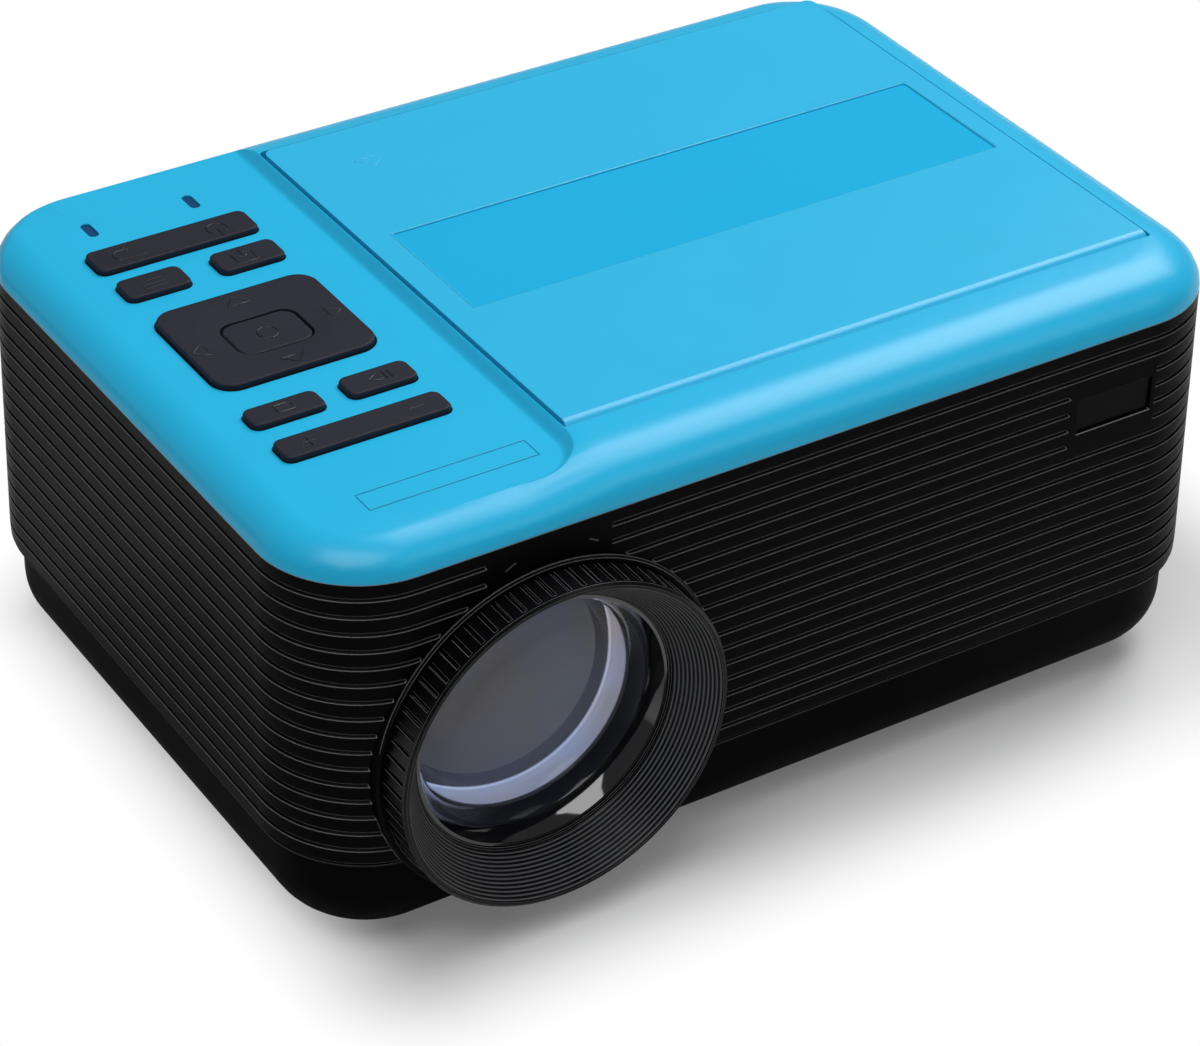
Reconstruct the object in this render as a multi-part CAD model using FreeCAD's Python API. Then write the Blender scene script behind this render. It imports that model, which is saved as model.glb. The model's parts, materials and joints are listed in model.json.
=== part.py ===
"""Portable LED projector with a top-loading disc player.

Millimetres. +X is the right side seen from the lens side, the lens looks along -Y, +Z is up, and the origin
is at the middle of the bounding box's underside. Helpers take places as (x from the left face, y from the
front face, z above the table), where the faces are those of the case at the seam below the top cover.
"""

import FreeCAD, Part
import math
import os

Vec = FreeCAD.Vector
UP = Vec(0, 0, 1)

# ---- clearances ------------------------------------------------------------------------------------------
SNUG = 0.1                # between fixed pieces that drop into each other
SEAT = 0.3                # between pieces that lie side by side
RUN = 0.06                # radial clearance of a shaft in its bore

# ---- disc bay and lid ------------------------------------------------------------------------------------
DISC_R = 60.0
WELL_R = DISC_R + 1.5
LID_LEFT = 68.5           # lid's left edge, from the left face
LID_FRONT = 19.0          # lid's front edge, from the front face
LID_SIDES = 12.6          # lid beyond the disc well, at its left and right
LID_ENDS = 2.9            # lid beyond the disc well, at its front and back
RIGHT_MARGIN = 11.8       # case beyond the lid
BACK_MARGIN = 11.6
LID_THICK = 2.4
LID_GAP = 0.35
LID_GAP_LEFT = 0.9
LID_CORNER_R = 2.0
LID_LIP = 1.4             # wall under the lid's edge
HINGE_R = 2.8             # round front edge of the lid, about the hinge axis
PIN_R = 1.0
PIN_IN = 4.5              # hinge pin's reach into the lid
STRIPE_LEFT, STRIPE_RIGHT = 7.0, 5.4      # sunken stripe, from the lid's edges
STRIPE_NEAR, STRIPE_FAR = 47.9, 82.9      # and from its front edge
STRIPE_DEEP = 0.3
DECK_THICK = 1.8
DECK_CORNER_R = 9.0
DECK_LEFT, DECK_RIGHT, DECK_NEAR, DECK_FAR = 1.6, 4.0, 3.6, 3.0      # deck beyond the lid's hole
WELL_DEEP = 3.0
DISC_LIFT = 1.8           # underside of a loaded disc above the well's floor
HUB_R = 7.4

# ---- case ------------------------------------------------------------------------------------------------
WIDTH = LID_LEFT + 2 * (WELL_R + LID_SIDES) + RIGHT_MARGIN
DEPTH = LID_FRONT + 2 * (WELL_R + LID_ENDS) + BACK_MARGIN
DRAFT = 1.3               # each wall stands out this much further at its widest level than at the seam
CORNER_R = 23.0
WALL = 2.2
FOOT_STAND = 3.5          # the case stands this far off the table
CASE_SPLIT_Z = 25.0       # ribbed shell meets bottom case
SEAM_Z = 95.0             # ribbed shell meets top cover
SHELL_END_IN = 1.8        # the shell's lower edge rounds in this far
SHELL_END_HIGH = 3.5
BOTTOM_INSET = 2.5        # bottom case stands in from the shell's widest level
BOTTOM_EDGE_R = 13.0
LID_TOP_RISE = 9.0        # lid and high part of the cover, above the seam
PANEL_RISE = 6.6          # key panel, above the seam
LOW_EDGE = (11.2, 6.8)    # side curve of the cover beside the panel: inward, upward
HIGH_EDGE = (13.0, 9.0)   # side curve elsewhere
BACK_REACH = 4.5          # the low side curve starts this far behind the back face
BLEND_X0, BLEND_X1 = 50.0, 70.0           # where the front curve rises from low to high

# ---- grooves of the ribbed shell -------------------------------------------------------------------------
GROOVE_COUNT = 17
GROOVE_PITCH = 4.05
GROOVE_FIRST_DROP = 3.45  # first groove below the seam
GROOVE_HALF = 0.55
GROOVE_DEPTH = 0.65

# ---- lens ------------------------------------------------------------------------------------------------
LENS_X = 52.5
LENS_DROP = 47.6          # lens axis below the seam
HOOD_OUT = 9.0            # focus ring stands out from the front face
COLLAR_OUT = 1.2
COLLAR_GAP = 0.3          # between the collar and the grip teeth
COLLAR_WALL = 1.4
COLLAR_DEEP = 12.0
RING_R = 38.4             # tips of the grip teeth
TOOTH_COUNT = 70
TOOTH_DEEP = 0.9
TOOTH_GAP = 1.05
RIM_LIP = 1.1
FUNNEL_LIP = 0.8          # flat rim between the teeth and the funnel
FUNNEL_RING_COUNT = 24
FUNNEL_END_OUT = 0.7      # inner end of the funnel outside the barrel
FUNNEL_RING_DEEP = 0.22
FUNNEL_FOOT = 0.6         # step behind the funnel's inner end
RING_BACK = 8.0           # end of the focus ring, inside the case
BARREL_R = 29.9
BARREL_WALL = 2.7
BARREL_FRONT = 6.0
BARREL_END = 42.0
FLANGE_OUT = 6.1          # flange beyond the barrel
FLANGE_THICK = 2.0
FOCUS_TRAVEL = 4.2        # each way
LENS_SEAT = 1.8           # ledge that the front lens sits against
FRONT_LENS_Y = 10.0       # edge of the front lens
FRONT_LENS_THICK = 2.1
FRONT_LENS_BULGE, FRONT_LENS_BACK_BULGE = 5.2, 1.2
REAR_LENS_THICK = 2.5
REAR_LENS_BULGE, REAR_LENS_BACK_BULGE = 3.0, 2.0
RETAINER_FRONT = 0.9
THROAT_IN = 1.2           # retainer's throat inside the front lens's edge

# ---- key panel -------------------------------------------------------------------------------------------
PANEL_FRONT = 8.8         # front edge of the flat panel
PANEL_TO_LID = 3.7        # foot of the panel's ramp, from the lid's left edge
PANEL_CORNER_R = 9.5
RAMP_WIDE = 3.4
RAMP_STEPS = 6
LABEL_X0, LABEL_X1, LABEL_Y0, LABEL_Y1 = 21.1, 60.0, 15.7, 21.9
LABEL_LINE, LABEL_DEEP = 0.3, 0.2
KEY_RISE = 1.3
KEY_GAP = 0.3
KEY_FLANGE = 1.0
KEY_FLANGE_THICK = 1.2
KEY_EDGE_R = 0.5
KEY_TRAVEL = 0.5
KEY_CORNER_R = 2.0
KEY_STEM_R = 1.6
PAD_GAP = 0.45
PAD_FLANGE = 0.8
PAD_FLANGE_THICK = 0.9
PAD_DROP = 2.2            # underside of the pad below the panel's underside
PAD_DISH_R, PAD_DISH_DEEP = 160.0, 0.7
BOARD_THICK = 1.6
KEYPAD_TOP_Z = 92.0
SWITCH_SIZE = 6.0
SWITCH_BODY = 2.8
SWITCH_HIGH = 3.5
SWITCH_BUTTON_R = 1.5
TRUNNION_R = 1.0
ROCK_DROP = 1.3           # rocker axis below the panel's underside
HANGER_WALL = 1.6
HANGER_HALF, HANGER_LOW = 2.4, 2.2
BOARD_POST_R = 2.2

# each key: x0, x1 from the left face, y0, y1 from the middle of the case's depth
PUSH_PLACES = {
    "source_key": (37.9, 53.2, 28.1, 36.3),
    "menu_key": (15.8, 30.8, 28.1, 36.3),
    "stop_key": (15.2, 32.0, -28.2, -21.4),
    "play_pause_key": (37.6, 53.4, -28.1, -20.7),
}
ROCKER_PLACES = {
    "power_back_key": (15.4, 53.6, 41.1, 50.1),
    "volume_key": (15.2, 53.4, -41.8, -34.3),
}
PAD_PLACE = (15.9, 53.5, -12.7, 20.4)
ROCKER_SWITCH_OUT = 13.5  # each switch from the rocker's middle
PAD_CORNER_R = 5.0
PAD_SWITCH_X, PAD_SWITCH_Y = 15.5, 13.0
OK_WIDE, OK_DEEP, OK_CORNER_R = 17.0, 12.8, 3.2
OK_DROP = 0.5             # centre key's top below the pad's rim
LIGHT_XS = (22.0, 46.5)
LIGHT_LONG, LIGHT_WIDE = 6.1, 2.4
LIGHT_BACK = 16.4         # far end of the light slots, from the back face
LIGHT_SUNK = 0.35
LIGHT_CHIP_HALF, LIGHT_CHIP_HIGH = 0.8, 1.0
GIMBAL_Z = 95.6
GIMBAL_HALF_X, GIMBAL_HALF_Y, GIMBAL_BAR, GIMBAL_THICK = 9.2, 7.6, 2.4, 1.6
GIMBAL_PIN_R = 0.7
EAR_THICK, EAR_HALF = 1.5, 1.6
KEYPAD_X0, KEYPAD_X1 = 10.5, 58.5
KEYPAD_NEAR, KEYPAD_FAR = 48.7, 13.4      # board's ends: before the middle, and from the back face
KEYPAD_POST_IN = 2.5

# ---- windows, pads and holes of the case -----------------------------------------------------------------
IR_RIGHT, IR_WIDE = 23.7, 20.0            # infrared window, from the right face
IR_DROP, IR_HIGH = 21.4, 8.5
IR_PAD_LEFT, IR_PAD_RIGHT = 2.2, 1.2      # smooth pad beyond the window
IR_SUNK, IR_RIM = 0.5, 1.2
FOCUS_PAD_X0, FOCUS_PAD_X1 = 38.2, 67.3
REAR_RIGHT, REAR_WIDE = 22.5, 100.0       # rear panel, from the right face
REAR_Z0, REAR_Z1 = 28.0, 58.0
REAR_PAD, REAR_EDGE = 2.0, 1.5
REAR_PLATE_THICK, REAR_SUNK = 1.6, 0.4
GRILLE_HALF, GRILLE_THICK, GRILLE_PAD = 31.0, 1.8, 2.0
GRILLE_LOW = 2.0          # lowest edge above the split
GRILLE_SUNK, GRILLE_ROWS, GRILLE_SLOT_HALF, GRILLE_RIB = 0.2, 11, 1.4, 2.4
SPEAKER_Y, SPEAKER_Z, SPEAKER_R = 82.0, 55.0, 20.0
SPEAKER_BASKET, SPEAKER_MAGNET, SPEAKER_MAGNET_R = 8.0, 5.5, 10.0
SPEAKER_CONE_R, SPEAKER_CONE_DEEP, SPEAKER_SURROUND = 6.0, 5.0, 2.5
SPEAKER_HOLE_R, SPEAKER_ROWS = 1.1, 4
POST_R, POST_LONG, PILOT_R = 3.6, 18.0, 1.4
POST_IN = 15.5            # screw posts from the two nearest faces
POST_WEB = 2.0
FOOT_IN, FOOT_R, FOOT_SUNK, FOOT_EDGE_R = 23.5, 6.0, 1.0, 1.0
VENT_COUNT, VENT_PITCH, VENT_WIDE, VENT_LONG, VENT_RIGHT = 9, 6.0, 2.6, 44.0, 34.5
TRIPOD_Y, TRIPOD_HIGH, TRIPOD_WALL = 60.0, 9.0, 2.5
INSERT_R, INSERT_SUNK, THREAD_R = 5.0, 0.4, 3.175
SCREW_HEAD_R, SCREW_HEAD_SUNK, SCREW_HEAD_THICK = 2.8, 12.0, 2.0
SCREW_R, SCREW_LONG = 1.35, 26.0
SCREW_SOCKET_R, SCREW_SOCKET_DEEP = 1.2, 1.2

# ---- disc drive ------------------------------------------------------------------------------------------
SLOT_HALF = 12.0
SLED_REST, SLED_TRAVEL = 24.0, 33.0       # objective from the spindle, and its travel outward
SLED_HALF_Y, SLED_HALF_Z, SLED_IN, SLED_OUT = 24.0, 3.2, 9.0, 14.0
TURNTABLE_R, TURNTABLE_THICK = 14.5, 2.3
CATCH_HALF = 5.0
DRIVE_POST_XS, DRIVE_POST_Y, DRIVE_POST_R = (-36.0, 32.0), 40.0, 3.0
CHASSIS_Z, CHASSIS_THICK = 83.0, 1.5
CHASSIS_IN, CHASSIS_OUT, CHASSIS_HALF_Y = 42.0, 79.0, 46.0
DAMPER_HIGH, DAMPER_R, DAMPER_WAIST = 3.5, 4.5, 1.0
MOTOR_R, MOTOR_HIGH, SHAFT_R = 12.5, 6.5, 1.0
ROD_HALF, ROD_R, ROD_Z = 20.0, 1.5, 88.0
ROD_NEAR, ROD_FAR = 12.4, 74.0            # ends of the rods, from the spindle
LUG_THICK, LUG_HALF = 2.0, 3.0
SCREW_OUT, LEAD_R, LEAD_ROOT = 27.5, 1.5, 0.3
SLED_MOTOR_R, SLED_MOTOR_LONG = 3.5, 12.0

# ---- light engine ----------------------------------------------------------------------------------------
MOUNT_Y0, MOUNT_PLATE_Y, MOUNT_WALL = 15.6, 44.5, 2.6
ENGINE_Y0 = 47.0
ENGINE_HALF_X, ENGINE_HALF_Z, ENGINE_WALL = 42.0, 29.0, 2.0
ENGINE_FOOT_X, ENGINE_FOOT_IN, ENGINE_FOOT_R = 30.0, 6.0, 3.0
PLATE_THICK = 2.0
LCD_AT, FRESNELS_AT = 0.28, (0.15, 0.50)  # along the engine
CONDENSER_BACK, CONDENSER_BAND, CONDENSER_BULGE, CONDENSER_BALL_R = 10.0, 3.0, 8.0, 40.0
REFLECTOR_LONG, REFLECTOR_WALL = 20.0, 1.2
LED_HALF, LED_PLATE, LED_PLATE_HALF, LED_CHIP_HALF, LED_CHIP_HIGH = 14.0, 1.6, 20.0, 11.0, 0.9
SINK_DEEP, SINK_HALF, SINK_BASE, FIN_COUNT, FIN_THICK = 23.0, 29.0, 4.0, 13, 1.2
FAN_THICK, FAN_HALF, FAN_BORE_R, FAN_HUB_R, BLADE_COUNT = 10.0, 30.0, 28.5, 12.0, 7
FAN_SHAFT_R, FAN_SPOKE, FAN_SPOKE_THICK = 1.5, 2.4, 1.5
BLADE_THICK, BLADE_PITCH = 1.2, 50

# ---- electronics and rear ports --------------------------------------------------------------------------
MAIN_BOARD_Z = 30.0
BOARD_GAP = 9.5           # main board from the light engine
BOARDS_Y0, BOARDS_APART = 66.0, 4.0
POWER_RIGHT, POWER_WIDE = 20.5, 36.0
BOARD_POST_IN, BOARD_FAR_POST, BOARD_POST_WIDE = 4.0, 19.4, 3.0
# parts on the boards: x and y from the board's corner, width, depth, height
MAIN_PARTS = [(8, 10, 18, 18, 2), (34, 12, 12, 10, 1.5), (34, 28, 12, 10, 1.5), (12, 40, 10, 10, 6),
              (30, 46, 8, 8, 8)]
POWER_PARTS = [(4, 8, 18, 18, 16), (24, 8, 9, 10, 14), (4, 34, 12, 12, 12), (20, 34, 12, 10, 10)]
PORT_DEEP, PORT_SUNK, PORT_WALL, PORT_ROOM = 12.0, 0.6, 0.8, 0.2
HDMI_FROM, USB_FROM, CARD_FROM = 12.0, 30.5, 49.0         # middles, from the rear panel's left end
AV_TO, PHONE_TO, INLET_TO = 35.5, 25.5, 12.5              # and from its right end
HDMI_SIZE, USB_SIZE, CARD_SIZE = (14.0, 4.6), (12.6, 5.2), (12.0, 2.2)
HDMI_TONGUE, USB_TONGUE = (11.0, 1.6, 1.2, 4.0), (11.2, 2.8, 1.8, 2.5)    # wide, up, thick, sunk
JACK_RISE, JACK_HALF, JACK_NOSE_R, JACK_BORE_R, JACK_BACK = 4.0, 3.6, 3.2, 1.8, 1.5
INLET_HALF_X, INLET_HALF_Z, INLET_Z, INLET_LONG = 8.0, 6.0, 43.0, 15.0
INLET_LOBE, INLET_NOSE_R, INLET_WELL_R, INLET_WELL_DEEP = 3.4, 4.9, 3.7, 11.0
INLET_PIN_OUT, INLET_PIN_R = 4.3, 1.2

# ---- values worked out from those ------------------------------------------------------------------------
LEFT = -WIDTH / 2
FRONT = (HOOD_OUT - DEPTH - DRAFT) / 2
WAIST_Z = CASE_SPLIT_Z + SHELL_END_HIGH
BASE_IN = BOTTOM_INSET - DRAFT
LENS_Z = SEAM_Z - LENS_DROP
COLLAR_BORE_R = RING_R + COLLAR_GAP
FRONT_LENS_R = BARREL_R - BARREL_WALL - SNUG
TOP_Z = SEAM_Z + LID_TOP_RISE
PANEL_Z = SEAM_Z + PANEL_RISE
PANEL_UNDER_Z = PANEL_Z - WALL
PANEL_RIGHT = LID_LEFT - PANEL_TO_LID
LID_UNDER_Z = TOP_Z - LID_THICK
LID_X0, LID_X1 = LID_LEFT, WIDTH - RIGHT_MARGIN
LID_Y0, LID_Y1 = LID_FRONT, DEPTH - BACK_MARGIN
HINGE_Y = LID_Y0 + HINGE_R
HINGE_Z = TOP_Z - HINGE_R
DECK_TOP_Z = SEAM_Z + 3.5
WELL_FLOOR_Z = DECK_TOP_Z - WELL_DEEP
DISC_Z = WELL_FLOOR_Z + DISC_LIFT
SPINDLE_X = (LID_X0 + LID_X1) / 2
SPINDLE_Y = (LID_Y0 + LID_Y1) / 2
STRIPE_X0, STRIPE_X1 = LID_X0 + STRIPE_LEFT, LID_X1 - STRIPE_RIGHT
STRIPE_Y0, STRIPE_Y1 = LID_Y0 + STRIPE_NEAR, LID_Y0 + STRIPE_FAR
HOLE_X0, HOLE_X1 = LID_X0 - LID_GAP_LEFT, LID_X1 + LID_GAP
HOLE_Y0, HOLE_Y1 = LID_Y0 - LID_GAP, LID_Y1 + LID_GAP
SKIRT_WALL = 1.6
MIDDLE_Y = DEPTH / 2
KEYS = {name: (x0, x1, MIDDLE_Y + y0, MIDDLE_Y + y1) for name, (x0, x1, y0, y1) in PUSH_PLACES.items()}
ROCKERS = {name: (x0, x1, MIDDLE_Y + y0, MIDDLE_Y + y1) for name, (x0, x1, y0, y1) in ROCKER_PLACES.items()}
PAD_X0, PAD_X1 = PAD_PLACE[:2]
PAD_Y0, PAD_Y1 = MIDDLE_Y + PAD_PLACE[2], MIDDLE_Y + PAD_PLACE[3]
PAD_X, PAD_Y = (PAD_X0 + PAD_X1) / 2, (PAD_Y0 + PAD_Y1) / 2
OK_Y = PAD_Y - 0.9
LIGHT_Y1 = DEPTH - LIGHT_BACK
LIGHT_Y0 = LIGHT_Y1 - LIGHT_LONG
KEY_TOP_Z = PANEL_Z + KEY_RISE
SWITCH_TOP_Z = KEYPAD_TOP_Z + SWITCH_HIGH
STEM_END_Z = SWITCH_TOP_Z + KEY_TRAVEL + SNUG
ROCK_Z = PANEL_UNDER_Z - ROCK_DROP
PAD_UNDER_Z = PANEL_UNDER_Z - PAD_DROP
KEYPAD_Y0, KEYPAD_Y1 = MIDDLE_Y - KEYPAD_NEAR, DEPTH - KEYPAD_FAR
IR_X1 = WIDTH - IR_RIGHT
IR_X0 = IR_X1 - IR_WIDE
IR_Z0, IR_Z1 = SEAM_Z - IR_DROP, SEAM_Z - IR_DROP + IR_HIGH
REAR_X1 = WIDTH - REAR_RIGHT
REAR_X0 = REAR_X1 - REAR_WIDE
TRIPOD_X = WIDTH / 2
DECK_X0, DECK_X1 = HOLE_X0 - DECK_LEFT, HOLE_X1 + DECK_RIGHT
DECK_Y0, DECK_Y1 = HOLE_Y0 - DECK_NEAR, HOLE_Y1 + DECK_FAR
DAMPER_Z = CHASSIS_Z + CHASSIS_THICK
CHASSIS_X0, CHASSIS_X1 = SPINDLE_X - CHASSIS_IN, SPINDLE_X + CHASSIS_OUT
ROD_X0, ROD_X1 = SPINDLE_X + ROD_NEAR, SPINDLE_X + ROD_FAR
SCREW_Y = SPINDLE_Y + SCREW_OUT
FAN_Y0 = DEPTH - BASE_IN - WALL - FAN_THICK - SEAT
SINK_Y1 = FAN_Y0 - SEAT
SINK_Y0 = SINK_Y1 - SINK_DEEP
REFLECTOR_Y1 = SINK_Y0 - LED_PLATE - REFLECTOR_WALL
ENGINE_Y1 = REFLECTOR_Y1 - REFLECTOR_LONG
ENGINE_LONG = ENGINE_Y1 - ENGINE_Y0
CONDENSER_Y = ENGINE_Y1 - CONDENSER_BACK
POWER_X1 = WIDTH - POWER_RIGHT
POWER_X0 = POWER_X1 - POWER_WIDE
MAIN_X0, MAIN_X1 = LENS_X + ENGINE_HALF_X + BOARD_GAP, POWER_X0 - BOARDS_APART
BOARD_Y1 = DEPTH - WALL - 2.0
PORT_FLOOR = MAIN_BOARD_Z + BOARD_THICK
HDMI_X, USB_X, CARD_X = REAR_X0 + HDMI_FROM, REAR_X0 + USB_FROM, REAR_X0 + CARD_FROM
AV_X, PHONE_X, INLET_X = REAR_X1 - AV_TO, REAR_X1 - PHONE_TO, REAR_X1 - INLET_TO
JACK_Z = PORT_FLOOR + JACK_RISE
NODES = {}


# ---- helpers ---------------------------------------------------------------------------------------------
def at(x, y, z):
    return Vec(LEFT + x, FRONT + y, z)


def box(x0, x1, y0, y1, z0, z1):
    return Part.makeBox(x1 - x0, y1 - y0, z1 - z0, at(x0, y0, z0))


def post(x, y, z0, z1, r):
    return Part.makeCylinder(r, z1 - z0, at(x, y, z0))


def rod_x(y, z, x0, x1, r):
    return Part.makeCylinder(r, x1 - x0, at(x0, y, z), Vec(1, 0, 0))


def rod_y(x, z, y0, y1, r):
    return Part.makeCylinder(r, y1 - y0, at(x, y0, z), Vec(0, 1, 0))


def fuse(shapes):
    shapes = list(shapes)
    if len(shapes) == 1:
        return shapes[0]
    return shapes[0].multiFuse(shapes[1:]).removeSplitter()


def cut(body, tools):
    tools = list(tools)
    return body.cut(tools) if tools else body


def slab(x0, x1, y0, y1, z0, z1, r):
    """A plate with rounded corners."""
    plate = box(x0, x1, y0, y1, z0, z1)
    upright = [e for e in plate.Edges if abs(e.tangentAt(e.FirstParameter).z) > 0.9]
    return plate.makeFillet(r, upright)


def edges_at(shape, z):
    """Edges that lie flat at height z."""
    return [e for e in shape.Edges if all(abs(v.Z - z) < 1e-4 for v in e.Vertexes)]


def turned(points, x=LENS_X, z=LENS_Z):
    """Revolves a closed (radius, y) outline about an axis along Y."""
    corners = [at(x + r, y, z) for r, y in points]
    face = Part.Face(Part.makePolygon(corners + corners[:1]))
    return face.revolve(at(x, 0, z), Vec(0, 1, 0), 360)


def tube_y(r_out, r_in, y0, y1, x=LENS_X, z=LENS_Z):
    return turned([(r_in, y0), (r_out, y0), (r_out, y1), (r_in, y1)], x, z)


def spun(points, x, y):
    """Revolves a closed (radius, z) outline about an upright axis."""
    corners = [at(x + r, y, z) for r, z in points]
    face = Part.Face(Part.makePolygon(corners + corners[:1]))
    return face.revolve(at(x, y, 0), UP, 360)


def quarter(u0, z0, u1, z1, steps=7):
    """Points of a quarter ellipse that starts upright at (u0, z0) and ends level at (u1, z1)."""
    turns = [math.pi / 2 * i / steps for i in range(steps + 1)]
    return [(u1 - (u1 - u0) * math.cos(t), z0 + (z1 - z0) * math.sin(t)) for t in turns]


def case_outline(inset, z0, z1):
    return slab(inset, WIDTH - inset, inset, DEPTH - inset, z0, z1, CORNER_R - inset)


def around_case(outline):
    """Carries a closed (inward, z) outline once round the case: four straight runs and four corners."""
    near, far_x, far_y = CORNER_R, WIDTH - CORNER_R, DEPTH - CORNER_R
    corners = [(near, near), (far_x, near), (far_x, far_y), (near, far_y)]
    runs = [far_x - near, far_y - near] * 2
    pieces = []
    for i, ((x, y), run) in enumerate(zip(corners, runs)):
        points = [Vec(0, u - CORNER_R, z) for u, z in outline]
        face = Part.Face(Part.makePolygon(points + points[:1]))
        face.rotate(Vec(0, 0, 0), UP, 90 * i)
        face.translate(at(x, y, 0))
        along = Vec(math.cos(math.pi / 2 * i), math.sin(math.pi / 2 * i), 0) * run
        pieces.append(face.extrude(along))
        pieces.append(face.revolve(at(x, y, 0), UP, -90))
    return fuse(pieces)


def wall_out(z):
    """How far the drafted wall stands out at height z from its place at the seam."""
    return DRAFT * (SEAM_Z - z) / (SEAM_Z - WAIST_Z)


def wall_foot(z):
    """Inward place of the rounded lower edge of the shell at height z."""
    down = (WAIST_Z - z) / SHELL_END_HIGH
    return SHELL_END_IN * (1 - math.sqrt(max(0.0, 1 - down ** 2))) - DRAFT


# ---- case pieces -----------------------------------------------------------------------------------------
def lens_cut(extra=SNUG / 2):
    """The hole that the lens collar passes through, with room behind it for the barrel's flange."""
    flange_end = RING_BACK + SEAT + FLANGE_THICK + FOCUS_TRAVEL + SEAT
    return fuse([rod_y(LENS_X, LENS_Z, -HOOD_OUT, COLLAR_DEEP + SEAT, COLLAR_BORE_R + COLLAR_WALL + extra),
                 rod_y(LENS_X, LENS_Z, 0, flange_end, BARREL_R + FLANGE_OUT + SEAT)])


def groove_z(k):
    return SEAM_Z - GROOVE_FIRST_DROP - k * GROOVE_PITCH


def outer_face(z):
    """Inward place of the shell's outer face at height z."""
    return -wall_out(z) if z >= WAIST_Z else wall_foot(z)


def foot_levels():
    steps = 5
    return [WAIST_Z - SHELL_END_HIGH * math.sin(math.pi / 2 * i / steps) for i in range(1, steps + 1)]


def inner_face():
    """Inside of the shell from the split upward, with the ledge that stands on the bottom case."""
    ledge = BASE_IN + WALL
    return [(ledge, CASE_SPLIT_Z), (ledge, CASE_SPLIT_Z + 1.5), (WALL - DRAFT, CASE_SPLIT_Z + 4.0)]


def wall_skin():
    """Outer layer of the shell without its grooves."""
    inside = WALL + 1.5
    outline = [(inside, SEAM_Z), (0, SEAM_Z), (-DRAFT, WAIST_Z)] + [(wall_foot(z), z) for z in foot_levels()]
    return around_case(outline + [(inside, CASE_SPLIT_Z)])


def ribbed_shell():
    levels = foot_levels()
    outline = [(WALL, SEAM_Z), (0, SEAM_Z)]
    for k in range(GROOVE_COUNT):
        z = groove_z(k)
        top, low = z + GROOVE_HALF, z - GROOVE_HALF
        outline += [(outer_face(top), top), (outer_face(z) + GROOVE_DEPTH, z), (outer_face(low), low)]
    lowest = outline[-1][1]
    outline += [(wall_foot(z), z) for z in levels if z < lowest - 0.05]
    shell = around_case(outline + inner_face())
    behind = DEPTH - WALL
    pads = [box(FOCUS_PAD_X0, FOCUS_PAD_X1, -DRAFT, WALL - DRAFT, groove_z(1) - GROOVE_HALF,
                groove_z(0) + GROOVE_HALF),
            box(IR_X0 - IR_PAD_LEFT, IR_X1 + IR_PAD_RIGHT, -DRAFT, WALL - DRAFT, groove_z(5) - GROOVE_HALF,
                groove_z(2) + GROOVE_HALF),
            box(REAR_X0, REAR_X1, behind, DEPTH + DRAFT, REAR_Z0 - REAR_PAD, REAR_Z1 + REAR_PAD),
            box(LENS_X - GRILLE_HALF - GRILLE_PAD, LENS_X + GRILLE_HALF + GRILLE_PAD, behind, DEPTH + DRAFT,
                CASE_SPLIT_Z, LENS_Z + GRILLE_HALF + GRILLE_PAD),
            box(WIDTH - WALL, WIDTH + DRAFT, SPEAKER_Y - SPEAKER_R, SPEAKER_Y + SPEAKER_R,
                SPEAKER_Z - SPEAKER_R, SPEAKER_Z + SPEAKER_R)]
    skin = wall_skin()
    posts = []
    inside = case_outline(WALL / 2 - wall_out(CASE_SPLIT_Z + POST_LONG), CASE_SPLIT_Z, SEAM_Z)
    for x, y in case_posts():
        posts.append(post(x, y, CASE_SPLIT_Z, CASE_SPLIT_Z + POST_LONG, POST_R))
        for turn in (0, 90):
            web = box(x - POST_WEB / 2, x + POST_WEB / 2, y, y + POST_IN, CASE_SPLIT_Z,
                      CASE_SPLIT_Z + POST_LONG)
            inward = (1 if x > WIDTH / 2 else -1, 1 if y > DEPTH / 2 else -1)
            web.rotate(at(x, y, 0), UP, web_turn(inward, turn))
            posts.append(web.common(inside))
    body = fuse([shell] + [pad.common(skin) for pad in pads] + posts)
    holes = [lens_cut(), ir_hole(), rear_hole(), grille_hole()]
    holes += [rod_x(y, z, WIDTH - 2 * WALL, WIDTH + 2 * DRAFT, SPEAKER_HOLE_R) for y, z in speaker_holes()]
    holes += [post(x, y, CASE_SPLIT_Z - 1, CASE_SPLIT_Z + POST_LONG - 2, PILOT_R) for x, y in case_posts()]
    return cut(body, holes)


def web_turn(side, turn):
    """Turn of a web that ties a screw post to the wall nearest on one side."""
    if turn == 0:
        return 0 if side[1] > 0 else 180
    return -90 if side[0] > 0 else 90


def case_posts():
    return [(x, y) for x in (POST_IN, WIDTH - POST_IN) for y in (POST_IN, DEPTH - POST_IN)]


def ir_hole():
    return slab(IR_X0, IR_X1, -2 * DRAFT, WALL + 1, IR_Z0, IR_Z1, 0.3)


def rear_hole():
    return box(REAR_X0 + REAR_EDGE, REAR_X1 - REAR_EDGE, DEPTH - WALL - 1, DEPTH + 2 * DRAFT,
               REAR_Z0 + REAR_EDGE, REAR_Z1 - REAR_EDGE)


def grille_hole():
    return box(LENS_X - GRILLE_HALF, LENS_X + GRILLE_HALF, DEPTH - BASE_IN - WALL, DEPTH + 2 * DRAFT,
               CASE_SPLIT_Z + GRILLE_LOW, LENS_Z + GRILLE_HALF)


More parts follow.
